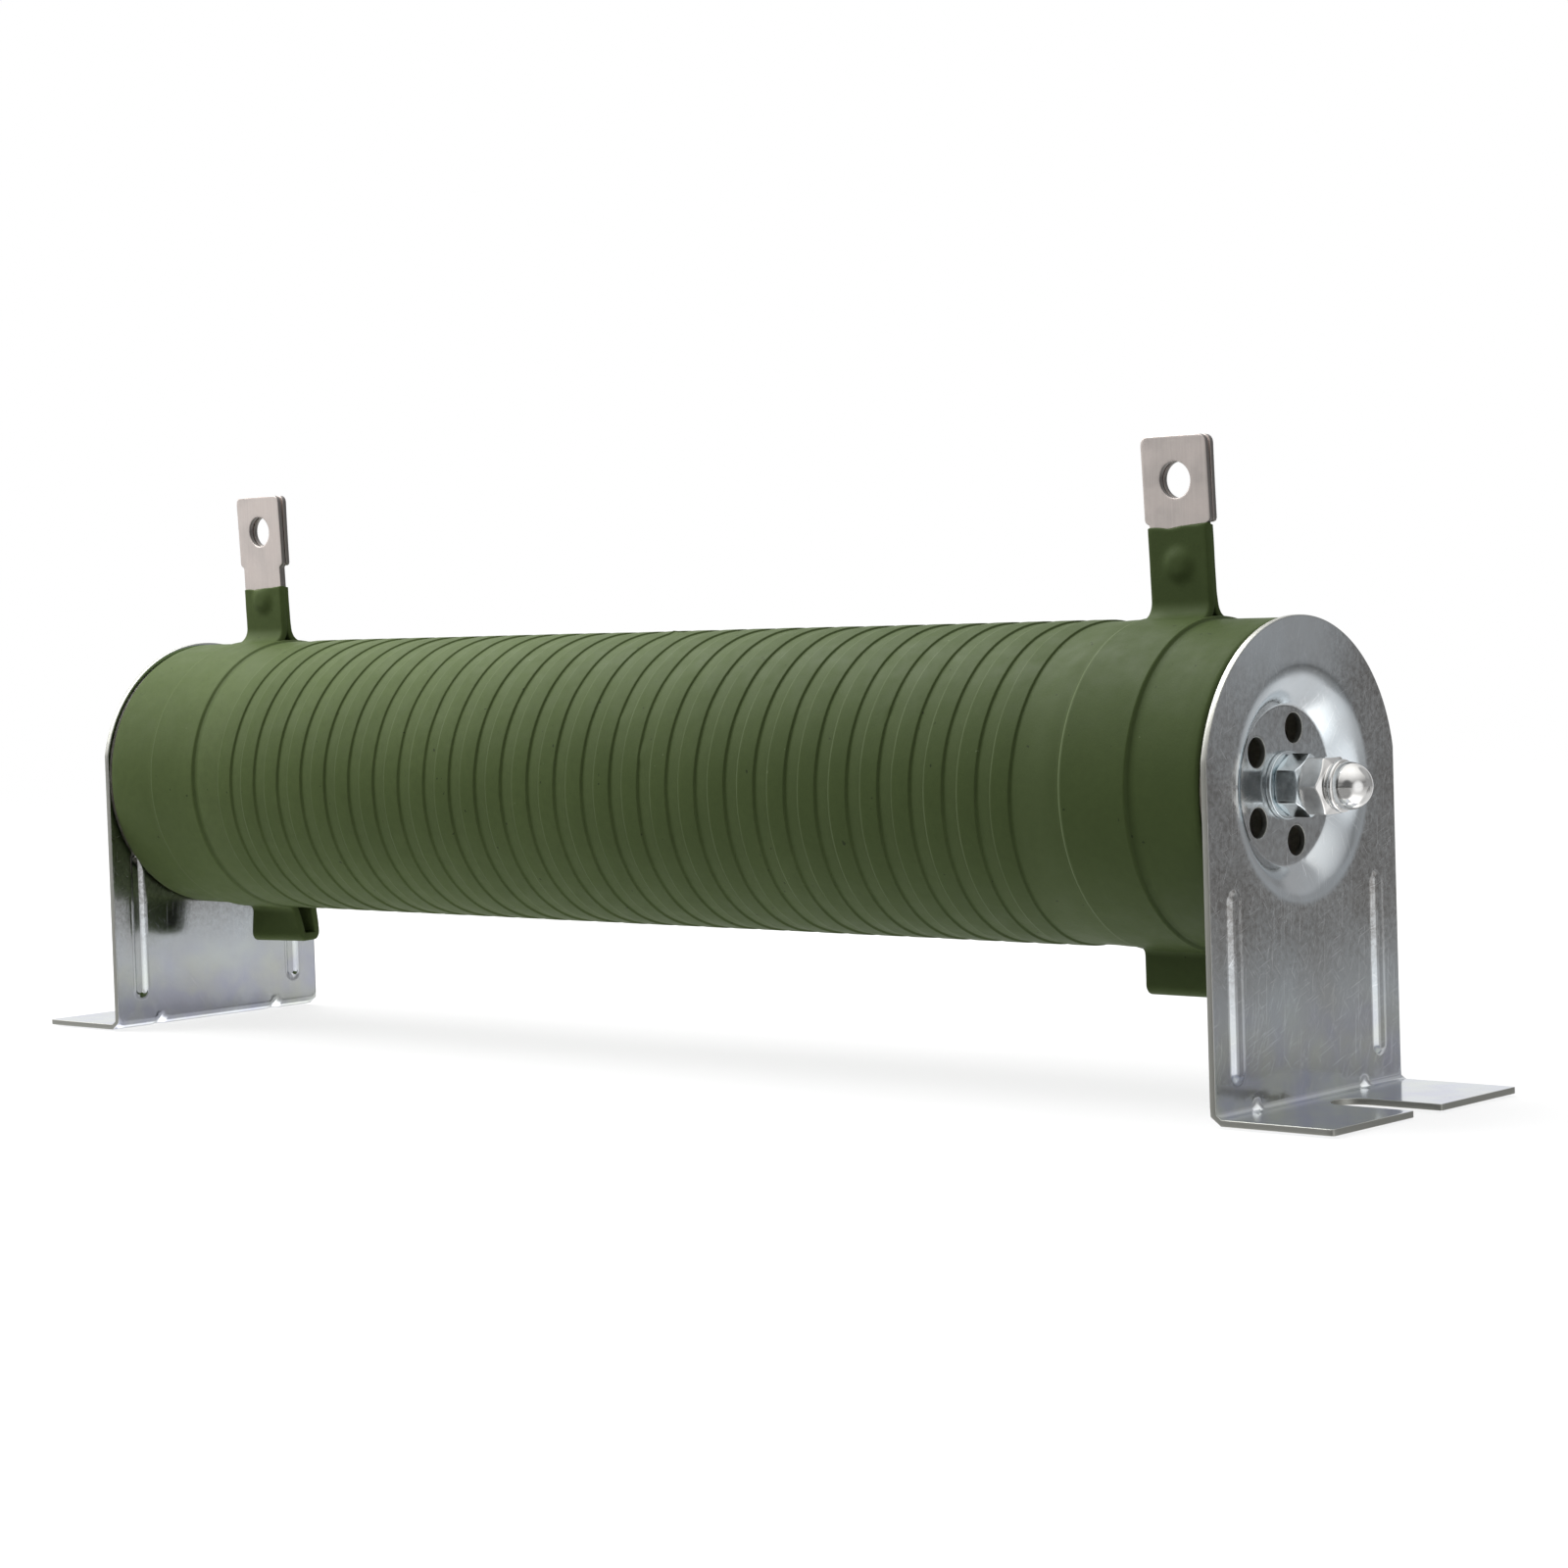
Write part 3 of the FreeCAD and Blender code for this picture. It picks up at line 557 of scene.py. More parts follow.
def inside_loops(points, loops):
    """Which points lie in the sheet, by counting crossings of all its outlines."""
    inside = np.zeros(len(points), bool)
    for loop in loops:
        ring = np.array([p for p, _ in loop])
        ahead = np.roll(ring, -1, axis=0)
        for (x0, y0), (x1, y1) in zip(ring, ahead):
            if y0 == y1:
                continue
            between = (points[:, 1] > min(y0, y1)) & (points[:, 1] <= max(y0, y1))
            crossing = x0 + (points[:, 1] - y0) * (x1 - x0) / (y1 - y0)
            inside ^= between & (points[:, 0] < crossing)
    return inside


def thinned(groups):
    """Joins groups of points; a later point gives way where an earlier one is too close."""
    kept = np.zeros((0, 2))
    for points, clearance in groups:
        points = np.array(points, float)
        if len(kept):
            free = [np.min(np.sum((kept - p) ** 2, axis=1)) > clearance ** 2 for p in points]
            points = points[np.array(free)]
        kept = np.vstack([kept, points])
    return kept


def pressed_sheet(loops, groups, surface, thickness, rounding=ROUNDING):
    """Vertices, faces and rim marks of a sheet; surface gives the front face's point and normal."""
    flat = []
    edges = []
    for loop in loops:
        start = len(flat)
        flat += [p - n * rounding for p, n in loop]
        edges += [(start + i, start + (i + 1) % len(loop)) for i in range(len(loop))]
    rim_count = len(flat)
    margin = [p - n * (rounding + 0.3) for loop in loops for p, n in loop]
    inner = thinned([(flat, 0), (margin, 0.02)] + groups)[rim_count:]
    inner = inner[inside_loops(inner, loops)]
    flat = np.vstack([np.array(flat), inner])
    result = delaunay_2d_cdt([Vector(p) for p in flat], edges, [], 0, 1e-7)
    plane, triangles, origins = np.array(result[0]), result[2], result[3]
    new_index = {old: new for new, olds in enumerate(origins) for old in olds}
    centres = np.array([(plane[a] + plane[b] + plane[c]) / 3 for a, b, c in triangles])
    cut = [[(p - n * (rounding + SLIVER), n) for p, n in loop] for loop in loops]
    triangles = [t for t, keep in zip(triangles, inside_loops(centres, cut)) if keep]
    front, normal = surface(plane[:, 0], plane[:, 1])
    back = front - thickness * normal
    count = len(plane)
    vertices = list(front) + list(back)
    rim = np.zeros(2 * count)
    faces = [tuple(t) for t in triangles] + [tuple(i + count for i in t[::-1]) for t in triangles]
    profile = []
    for k in (1, 2, 3):
        a = math.radians(30 * k)
        profile.append((rounding * math.sin(a) - rounding, rounding - rounding * math.cos(a)))
    profile += [(o, thickness - d) for o, d in profile[::-1]]
    marks = [0.6, 1, 1, 1, 1, 0.6]
    start = 0
    extra = []
    for loop in loops:
        size = len(loop)
        ids = [new_index[start + i] for i in range(size)]
        rim[ids] = 0.35
        rim[[i + count for i in ids]] = 0.35
        rows = [ids]
        for (offset, depth), mark in zip(profile, marks):
            edge = np.array([p + n * offset for p, n in loop])
            points, normals = surface(edge[:, 0], edge[:, 1])
            rows.append(list(range(len(vertices), len(vertices) + size)))
            vertices += list(points - depth * normals)
            extra += [mark] * size
        rows.append([i + count for i in ids])
        for upper, lower in zip(rows, rows[1:]):
            for i in range(size):
                k = (i + 1) % size
                faces.append((upper[i], upper[k], lower[k], lower[i]))
        start += size
    return vertices, faces, np.concatenate([rim, extra])


def with_normals(position):
    """Surface function from one that gives positions, by small differences."""
    step = 0.02

    def surface(u, v):
        du = position(u + step, v) - position(u - step, v)
        dv = position(u, v + step) - position(u, v - step)
        normal = np.cross(du, dv)
        return position(u, v), normal / np.linalg.norm(normal, axis=1)[:, None]
    return surface


def grid_points(u0, u1, v0, v1, step_u, step_v):
    u = np.linspace(u0, u1, int((u1 - u0) / step_u) + 1)
    v = np.linspace(v0, v1, int((v1 - v0) / step_v) + 1)
    return [(a, b) for b in v for a in u]


# Bracket: u is Y, v is the height, running on round the bend and out along the foot

def dish_depth(radius):
    """Depth of the dish: a wall that steepens from the rim to a crisp corner at the flat floor."""
    reach = smooth_max(DISH_RIM - radius, 0.0, 2.0) / (DISH_RIM - DISH_FLOOR_RADIUS)
    wall = DISH_DEPTH * reach ** 1.7
    return smooth_min(wall, DISH_DEPTH, 0.22)


def bead_height(u, v):
    """Height of the two stiffening beads: a flat crest with narrow sloping sides."""
    low, high = BEAD_BOTTOM + BEAD_HALF, BEAD_TOP - BEAD_HALF
    distance = np.hypot(np.abs(u) - BEAD_Y, v - np.clip(v, low, high))
    crown = 1 - 0.12 * np.minimum(distance / BEAD_HALF, 1) ** 2
    return BEAD_HEIGHT * crown * smooth_step(BEAD_HALF + 0.1, BEAD_HALF - 1.25, distance)


def bracket_position(u, v):
    raised = bead_height(u, v) - dish_depth(np.hypot(u, v - AXIS_Z))
    raised = np.where(v > BEND_TOP, raised, 0)
    turn = np.clip((BEND_TOP - v) / BEND_RADIUS, 0, math.pi / 2)
    x = FACE_X + raised + BEND_RADIUS * (1 - np.cos(turn)) + np.maximum(BEND_FOOT - v, 0)
    z = np.maximum(v, BEND_TOP) - BEND_RADIUS * np.sin(turn)
    top, end = SHEET + DART_LEG, BEND_FOOT + BEND_RADIUS - DART_LEG
    share = np.clip((top - v) / (top - end), 0, 1)
    weight = DART_SHARE * smooth_step(DART_HALF, 0.0, np.abs(np.abs(u) - DART_Y))
    weight = weight * smooth_step(0.0, 0.5, share) * smooth_step(1.0, 0.5, share)
    x = x + weight * (FACE_X + DART_LEG * share - x)
    z = z + weight * (SHEET + DART_LEG * (1 - share) - z)
    return np.stack([x, u, z], axis=-1)


def bracket_outline():
    """Foot with its slot, straight sides and round top."""
    half = BRACKET_HALF
    radius = BRACKET_TOP - AXIS_Z
    slot_top = FOOT_V + SLOT_DEPTH
    lower = [((-SLOT_HALF, FOOT_V), 0.35), ((-SLOT_HALF, slot_top), SLOT_HALF - 0.01),
             ((SLOT_HALF, slot_top), SLOT_HALF - 0.01), ((SLOT_HALF, FOOT_V), 0.35),
             ((half, FOOT_V), 0.5), ((half, AXIS_Z + 30), 0.0), ((-half, AXIS_Z + 30), 0.0),
             ((-half, FOOT_V), 0.5)]
    loop = loop_path(lower, 1.3)
    corner_z = AXIS_Z + math.sqrt(radius ** 2 - half ** 2)
    straight = [(p, n) for p, n in loop if p[1] < corner_z - 0.7]
    split = next(i for i, (p, n) in enumerate(straight) if p[0] < -half + 0.1)
    start = math.asin((corner_z - AXIS_Z) / radius)
    top = []
    for a in np.linspace(start, math.pi - start, 90):
        direction = np.array([math.cos(a), math.sin(a)])
        top.append((np.array([0, AXIS_Z]) + radius * direction, direction))
    return straight[:split] + top + straight[split:]


def bracket_mesh():
    vents = [p for p, _ in loop_circle((0, AXIS_Z), VENT_CIRCLE, VENT_COUNT)]
    holes = [loop_circle(c, VENT_RADIUS, 40) for c in vents]
    holes.append(loop_circle((0, AXIS_Z), ROD_HOLE_RADIUS, 48))
    groups = []
    for centre in vents:
        for extra, count in ((0.8, 36), (1.5, 30)):
            groups.append(([p for p, _ in loop_circle(centre, VENT_RADIUS + extra, count)], 0.3))
    radii = [DISH_FLOOR_RADIUS + d for d in (-0.8, -0.45, -0.25, -0.1, 0.05, 0.2, 0.4, 0.7)]
    radii += list(np.linspace(DISH_FLOOR_RADIUS + 1.2, DISH_RIM, 10))
    radii += [DISH_RIM + 0.5, DISH_RIM + 1.4, 5.0, 6.8]
    for radius in radii:
        count = 128 if radius > 12 else 40
        groups.append(([p for p, _ in loop_circle((0, AXIS_Z), radius, count)], 0.08))
    for side in (-1, 1):
        low, high = BEAD_BOTTOM + BEAD_HALF, BEAD_TOP - BEAD_HALF
        for offset in (0.0, 0.5, 1.0, 1.4, 1.7, 1.95, 2.15, 2.35, 2.6, 3.0, 3.6):
            path = []
            for edge in ((-1, 1) if offset else (1,)):
                across = side * BEAD_Y + edge * offset
                path += line_points((across, low), (across, high), 0.87)
            for end, sign in ((low, -1), (high, 1)):
                for a in np.linspace(0, math.pi, 15 if offset else 1)[1:-1]:
                    path.append((side * BEAD_Y + offset * math.cos(a), end + sign * offset * math.sin(a)))
            groups.append((path, 0.12))
        dart = grid_points(side * DART_Y - 2.1, side * DART_Y + 2.1, -2.2, 4.6, 0.2, 0.2)
        groups.append((dart, 0.1))
    bend = grid_points(-BRACKET_HALF, BRACKET_HALF, BEND_FOOT - 0.05, BEND_TOP + 0.05, 1.2, 0.22)
    groups.append((bend, 0.2))
    groups.append((grid_points(-BRACKET_HALF, BRACKET_HALF, FOOT_V, BRACKET_TOP, 2.1, 2.1), 1.0))
    return pressed_sheet([bracket_outline()] + holes, groups, with_normals(bracket_position), SHEET)


# Lug heads: u is X from the band's middle, v is the height

def lug_layer(side, x, lean, splay):
    """One layer of a lug: side -1 is the front one, 1 the back one."""
    head_bottom = LUG_TOP - HEAD_LENGTH
    foot_z = AXIS_Z + LUG_FOOT_ABOVE_AXIS
    half = HEAD_HALF
    neck = NECK_HALF - BACK_NECK_NARROWER if side > 0 else NECK_HALF
    outline = loop_path([((-NECK_HALF, foot_z), 0.0), ((neck, foot_z), 0.0), ((neck, head_bottom), 0.5),
                         ((half, head_bottom), HEAD_SHOULDER * 0.8),
                         ((half, LUG_TOP), HEAD_CORNER), ((-half, LUG_TOP), HEAD_CORNER),
                         ((-half, head_bottom), HEAD_SHOULDER * 0.8), ((-NECK_HALF, head_bottom), 0.5)],
                        0.8)
    hole = loop_circle((0, LUG_TOP - LUG_HOLE_BELOW_TOP), LUG_HOLE_RADIUS, 56)
    front_y = LAYER_GAP / 2 + STRAP

    def position(u, v):
        open_up = splay * np.maximum(v - head_bottom, 0) ** 2 / HEAD_LENGTH ** 2
        bow = 0.05 * np.cos(u / half * 1.4)
        y = side * (front_y + open_up + bow - 0.05)
        shift = -math.tan(lean) * (v - AXIS_Z - CREST_RADIUS)
        return np.stack([x + u + shift, y + 0 * u, v], axis=-1)

    def surface(u, v):
        points, normals = with_normals(position)(u, v)
        return points, normals * np.sign(normals[:, 1:2]) * side

    ring = [p for p, _ in loop_circle((0, LUG_TOP - LUG_HOLE_BELOW_TOP), LUG_HOLE_RADIUS + 0.8, 40)]
    groups = [(ring, 0.3), (grid_points(-half, half, foot_z, LUG_TOP, 1.3, 1.3), 0.6)]
    return pressed_sheet([outline, hole], groups, surface, STRAP, 0.12)


# Turned and hexagonal hardware

def hexagon_radius(angle, apothem, turn):
    """Distance of a hexagon's side from its middle, with slightly rounded corners."""
    power = 44
    total = sum(np.abs(np.cos(angle - turn - k * math.pi / 3)) ** power for k in range(3))
    return apothem / total ** (1 / power)


def turned(profile, hexagon=None):
    """Solid of revolution about the tube's axis from (x, radius, is hexagonal) stations."""
    count = 192
    angle = np.arange(count) * TURN / count
    rows = []
    for x, radius, hexed in profile:
        r = np.full(count, float(radius))
        if hexed:
            r = smooth_min(r, hexagon_radius(angle, *hexagon), 0.16)
        rows.append(np.stack([np.full(count, x), r * np.cos(angle), AXIS_Z + r * np.sin(angle)], axis=1))
    vertices = np.vstack(rows)
    return vertices, grid_faces(len(rows), count, close_rows=True, close_columns=True)


def hex_stations(x_from, x_to, first_face, last_face):
    """Flats with a conical chamfer at both ends, given the round faces' radii."""
    slope = math.tan(math.radians(30))
    reach = NUT_APOTHEM * 1.22
    first = [(x_from + (r - first_face) * slope, r, True) for r in np.linspace(first_face, reach, 12)]
    last = [(x_to - (r - last_face) * slope, r, True) for r in np.linspace(reach, last_face, 12)]
    return first + [(x, reach, True) for x in np.linspace(first[-1][0], last[0][0], 6)[1:-1]] + last


def hex_nut_mesh():
    bore = ROD_RADIUS + THREAD_CLEARANCE
    low, high = WASHER_TOP_X + SLIVER, NUT_TOP_X
    profile = [(low, bore, False)] + hex_stations(low, high, NUT_APOTHEM - 0.25, NUT_APOTHEM - 0.25)
    profile += [(high, bore + 0.5, False), (high - 0.4, bore, False)]
    return turned(profile, (NUT_APOTHEM, 0.0))


def cap_nut_mesh():
    """Cap nut: hexagon, neck, thin collar and ball, with its blind bore."""
    low = NUT_TOP_X + SLIVER
    hex_top = low + CAP_HEX_HEIGHT
    centre = CAP_TIP_X - CAP_DOME_RADIUS
    bore = ROD_RADIUS + THREAD_CLEARANCE
    profile = [(low, bore, False), (low, ROD_RADIUS + 0.5, False)]
    profile += hex_stations(low, hex_top, NUT_APOTHEM - 0.3, NUT_APOTHEM - 0.75)
    for rise, radius in ((0.15, 4.2), (0.45, 4.18), (0.55, 4.3), (0.62, 4.5), (0.75, 4.62), (0.95, 4.68),
                         (1.35, 4.68), (1.52, 4.6), (1.62, 4.42), (1.66, CAP_DOME_RADIUS)):
        profile.append((hex_top + rise, radius, False))
    for a in np.linspace(0, math.pi / 2, 24):
        profile.append((centre + CAP_DOME_RADIUS * math.sin(a),
                        max(CAP_DOME_RADIUS * math.cos(a), 0.02), False))
    profile += [(low + CAP_BORE_DEPTH, 0.02, False), (low + CAP_BORE_DEPTH, bore, False)]
    return turned(profile, (NUT_APOTHEM, math.pi / 2))


def washer_mesh():
    low, high, outer = DISH_FLOOR_X + SLIVER, WASHER_TOP_X, WASHER_RADIUS
    inner = ROD_RADIUS + 0.3
    e = 0.22
    profile = [(low + e, inner, False), (low, inner + e, False), (low, outer - e, False)]
    for x, turn in ((low + e, -90), (high - e, 0)):
        for k in range(5):
            a = math.radians(turn + 22.5 * k)
            profile.append((x + e * math.sin(a), outer - e + e * math.cos(a), False))
    profile += [(high, inner + e, False), (high - e, inner, False)]
    return turned(profile)


# Materials

class Nodes:
    """Short ways to add nodes to one node tree."""

    def __init__(self, tree):
        self.tree = tree

    def add(self, kind, *links, **settings):
        """Adds a node; settings name its properties or its inputs, links are (socket, input) pairs."""
        made = self.tree.nodes.new(kind)
        for key, value in settings.items():
            if hasattr(made, key):
                setattr(made, key, value)
            else:
                made.inputs[key.replace("_", " ")].default_value = value
        for source, target in links:
            self.tree.links.new(source, made.inputs[target])
        return made

    def feed(self, source, target):
        """Links a socket to an input, or sets the input to a number or colour."""
        if isinstance(source, tuple):
            target.default_value = source + (1.0,)
        elif isinstance(source, (int, float)):
            target.default_value = source
        else:
            self.tree.links.new(source, target)

    def stretch(self, value, start, end, low=0.0, high=1.0, kind="LINEAR"):
        """Turns the range from start to end of a value into low to high, and no further."""
        ramp = self.add("ShaderNodeMapRange", (value, "Value"), interpolation_type=kind, From_Min=start,
                        From_Max=end, To_Min=low, To_Max=high)
        return ramp.outputs[0]

    def fade(self, value, start, end, low=0.0):
        """Low at the start value and 1 at the end value, with a soft change between."""
        return self.stretch(value, start, end, low, 1.0, "SMOOTHSTEP")

    def maths(self, operation, first, second=0.0):
        made = self.add("ShaderNodeMath", operation=operation)
        self.feed(first, made.inputs[0])
        self.feed(second, made.inputs[1])
        return made.outputs[0]

    def times(self, first, second):
        return self.maths("MULTIPLY", first, second)

    def mix(self, factor, first, second, share=None):
        """Mixes two colours by a factor, or by a share of it."""
        if share:
            factor = self.times(factor, share)
        mixer = self.add("ShaderNodeMix", (factor, 0), data_type="RGBA")
        self.feed(first, mixer.inputs[6])
        self.feed(second, mixer.inputs[7])
        return mixer.outputs[2]

    def points(self, scale=(1, 1, 1), rotation=(0, 0, 0)):
        """Object coordinates in millimetres, rotated and then scaled."""
        source = self.add("ShaderNodeTexCoord").outputs["Object"]
        rotated = self.add("ShaderNodeMapping", (source, "Vector"), Rotation=rotation)
        scaled = self.add("ShaderNodeMapping", (rotated.outputs[0], "Vector"),
                          Scale=tuple(s / MM for s in scale))
        return scaled.outputs[0]

    def cloud(self, points, size, low, high, detail=3.0, roughness=0.55):
        """Noise of a blob size in millimetres, stretched so that low to high becomes 0 to 1."""
        texture = self.add("ShaderNodeTexNoise", (points, "Vector"), Scale=1.0 / size, Detail=detail,
                           Roughness=roughness)
        return self.stretch(texture.outputs["Fac"], low, high)

    def mark(self):
        """What add_piece was told of each vertex."""
        return self.add("ShaderNodeAttribute", attribute_name="mark").outputs["Fac"]


class Finish(Nodes):
    """A material; sockets name the shader's values that are the same all over."""

    def __init__(self, name, **sockets):
        self.material = bpy.data.materials.new(name)
        self.material.use_nodes = True
        super().__init__(self.material.node_tree)
        self.shader = self.tree.nodes["Principled BSDF"]
        for key, value in sockets.items():
            self.shader.inputs[key.replace("_", " ")].default_value = value

    def cover(self, colour, roughness, relief, height, strength=1.0):
        """Links colour, roughness unless it is None, and relief of a height in millimetres."""
        bump = self.add("ShaderNodeBump", (relief, "Height"), Strength=strength, Distance=height * MM)
        self.tree.links.new(colour, self.shader.inputs["Base Color"])
        self.tree.links.new(bump.outputs[0], self.shader.inputs["Normal"])
        if roughness:
            self.tree.links.new(roughness, self.shader.inputs["Roughness"])
        return self.material


def green_silicone():
    """Matt silicone paint: faint clouding, painted shade in creases and at band edges, painted highlights
    on ridge edges and grooves, painted shade towards the right-hand end, a few pale scuffs and a fine
    grain.
    """
    paint = Finish("green_silicone_matt", Specular_IOR_Level=0.05)
    points = paint.points()
    broad = paint.cloud(points, 26.0, 0.3, 0.7)
    fine = paint.cloud(points, 1.6, 0.3, 0.7)
    colour = paint.mix(broad, (0.056, 0.078, 0.026), (0.067, 0.092, 0.032))
    colour = paint.mix(fine, colour, (0.044, 0.062, 0.021), 0.35)
    along = paint.add("ShaderNodeSeparateXYZ", (points, "Vector")).outputs["X"]
    # Painted shade: the coat darkens towards the right-hand end (+X)
    colour = paint.mix(paint.fade(along, -120.0, 130.0), colour, (0.028, 0.042, 0.014), 0.45)
    specks = paint.cloud(points, 0.9, 0.775, 0.8, 2.0, 0.4)
    zones = paint.cloud(points, 30.0, 0.5, 0.62)
    colour = paint.mix(paint.times(specks, zones), colour, (0.20, 0.24, 0.14), 0.7)
    pits = paint.cloud(points, 1.4, 0.775, 0.80, 1.0, 0.4)
    colour = paint.mix(pits, colour, (0.016, 0.022, 0.010), 0.75)
    # Painted shade where the mark is above 0 (creases, band edges) and painted highlights where it is
    # below 0 (ridge edges, grooves)
    mark = paint.mark()
    colour = paint.mix(paint.maths("MAXIMUM", mark, 0.0), colour, (0.010, 0.015, 0.006), 0.20)
    colour = paint.mix(paint.maths("MINIMUM", mark, 0.0), colour, (0.13, 0.16, 0.085), -0.75)
    rough = paint.stretch(paint.cloud(points, 4.0, 0.3, 0.7), 0, 1, 0.50, 0.62)
    return paint.cover(colour, rough, paint.cloud(points, 0.45, 0.2, 0.8, 4.0), 0.05, 0.3)


def zinc_sheet():
    """Passivated zinc on cold-rolled steel: mottled zones that are darker and duller, with painted shade
    there for dark reflections, rubbed marks and cut edges.
    """
    zinc = Finish("zinc_sheet", Metallic=1.0)
    points = zinc.points()
    place = zinc.add("ShaderNodeSeparateXYZ", (points, "Vector")).outputs
    # Painted shade: the zinc is darker and duller on the upright plate outside the dish, but not on its
    # upper part towards -Y, and on the dish floor, standing for dark reflections; the fine mottling there
    # is the zinc's own
    upright = zinc.fade(place["Z"], 14.0, 38.0)
    beside = zinc.maths("MAXIMUM", zinc.fade(place["Z"], 88.0, 52.0), zinc.fade(place["Y"], 2.0, 22.0))
    flat = zinc.add("ShaderNodeVectorMath", (points, 0), operation="MULTIPLY_ADD")
    flat.inputs[1].default_value = (0, 1, 1)
    flat.inputs[2].default_value = (0, 0, -AXIS_Z)
    radius = zinc.add("ShaderNodeVectorMath", (flat.outputs[0], 0), operation="LENGTH").outputs["Value"]
    outside = zinc.fade(radius, DISH_RIM - 0.8, DISH_RIM + 0.6)
    floor = zinc.fade(radius, DISH_FLOOR_RADIUS + 0.3, DISH_FLOOR_RADIUS - 0.3)
    part = zinc.times(zinc.times(upright, beside), outside)
    part = zinc.maths("MAXIMUM", part, zinc.times(floor, 0.55))
    dull_and_shaded = zinc.times(part, zinc.stretch(zinc.cloud(points, 17.0, 0.36, 0.60), 0, 1, 0.65, 1.0))
    mottle = zinc.times(zinc.cloud(points, 1.2, 0.42, 0.60, 5.0, 0.8), dull_and_shaded)
    colour = zinc.mix(zinc.cloud(points, 19.0, 0.35, 0.65), (0.56, 0.58, 0.59), (0.64, 0.69, 0.72))
    colour = zinc.mix(dull_and_shaded, colour, (0.33, 0.32, 0.305), 0.8)
    colour = zinc.mix(mottle, colour, (0.21, 0.20, 0.19), 0.9)
    film = zinc.cloud(points, 9.0, 0.34, 0.66, 2.0)
    tint = zinc.mix(film, (0.50, 0.50, 0.66), (0.68, 0.70, 0.60))
    colour = zinc.mix(zinc.fade(place["Z"], 24.0, 6.0), colour, tint, 0.5)
    rubbed = 0.0
    for angle, width, length, low in ((0.45, 0.11, 6.0, 0.70), (-0.7, 0.10, 4.5, 0.71),
                                      (1.25, 0.09, 5.5, 0.71), (0.05, 0.13, 12.0, 0.71)):
        stretched = zinc.points((1 / length, 1 / width, 1 / length), (angle, 0, 0))
        scratch = zinc.cloud(stretched, 1.0, low, low + 0.08, 1.0, 0.4)
        rubbed = zinc.maths("MAXIMUM", rubbed, scratch)
    colour = zinc.mix(rubbed, colour, (0.86, 0.87, 0.88), 0.6)
    rim = zinc.mark()
    colour = zinc.mix(rim, colour, (0.34, 0.34, 0.31))
    rough = zinc.maths("ADD", zinc.stretch(mottle, 0, 1, 0.13, 0.22), zinc.times(rim, 0.32))
    rough = zinc.maths("ADD", rough, zinc.times(rubbed, 0.10))
    grain = zinc.cloud(zinc.points((1, 1, 0.12)), 0.30, 0.2, 0.8, 3.0)
    return zinc.cover(colour, rough, zinc.maths("SUBTRACT", grain, rubbed), 0.012, 0.30)


def plated(name, colour, second, rough_low, rough_high, grain_size=0.5, relief=0.15):
    """Bright plated metal with faint clouding and tool marks."""
    metal = Finish(name, Metallic=1.0)
    points = metal.points()
    colour = metal.mix(metal.cloud(points, 2.5, 0.35, 0.65, 4.0), colour, second)
    rough = metal.stretch(metal.cloud(points, 1.1, 0.4, 0.7, 5.0), 0, 1, rough_low, rough_high)
    return metal.cover(colour, rough, metal.cloud(points, grain_size, 0.2, 0.8, 4.0), 0.02, relief)


def tinned_lug():
    """Satin tinned sheet with fine upright rolling marks and darker cut edges."""
    tin = Finish("tinned_lug", Metallic=1.0)
    lines = tin.cloud(tin.points((1, 1, 0.03)), 0.28, 0.3, 0.7, 4.0, 0.6)
    cloud = tin.cloud(tin.points(), 5.0, 0.35, 0.65)
    colour = tin.mix(lines, (0.62, 0.56, 0.53), (0.70, 0.64, 0.60))
    colour = tin.mix(cloud, colour, (0.50, 0.44, 0.41), 0.4)
    colour = tin.mix(tin.maths("POWER", tin.mark(), 2.5), colour, (0.20, 0.185, 0.175))
    return tin.cover(colour, tin.stretch(cloud, 0, 1, 0.42, 0.52), lines, 0.015, 0.4)


def rough_solid(name, colour, second, size, roughness, relief):
    """Fired clay or pressed fibre: speckled, matt and slightly pitted."""
    solid = Finish(name, Roughness=roughness)
    points = solid.points()
    colour = solid.mix(solid.cloud(points, size, 0.35, 0.65, 5.0), colour, second)
    return solid.cover(colour, None, solid.cloud(points, size / 2, 0.2, 0.8, 4.0), relief)


# Assembly

GREEN = green_silicone()
ZINC_SHEET = zinc_sheet()
TINNED = tinned_lug()
ZINC_BRIGHT = plated("zinc_hardware", (0.66, 0.70, 0.72), (0.58, 0.64, 0.66), 0.14, 0.26)
NICKEL = plated("nickel_hardware", (0.74, 0.73, 0.71), (0.67, 0.66, 0.64), 0.06, 0.13, 0.8, 0.06)
ROD_ZINC = plated("zinc_rod", (0.52, 0.54, 0.55), (0.44, 0.46, 0.47), 0.25, 0.4)
CERAMIC = rough_solid("ceramic_body", (0.62, 0.58, 0.50), (0.52, 0.48, 0.41), 0.7, 0.75, 0.05)
FIBRE = rough_solid("gasket_fibre", (0.38, 0.37, 0.32), (0.48, 0.46, 0.40), 0.4, 0.85, 0.06)
ALLOY = plated("ribbon_alloy", (0.42, 0.40, 0.37), (0.36, 0.34, 0.31), 0.3, 0.45)

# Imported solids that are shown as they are
CARRIED = {"ceramic_tube": CERAMIC, "through_rod": ROD_ZINC, "gasket_left": FIBRE, "gasket_right": FIBRE,
           "resistance_ribbon": ALLOY}
for carried_name, finish in CARRIED.items():
    carried_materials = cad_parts[carried_name].data.materials
    carried_materials.clear()
    carried_materials.append(finish)

silicone_coat(GREEN)

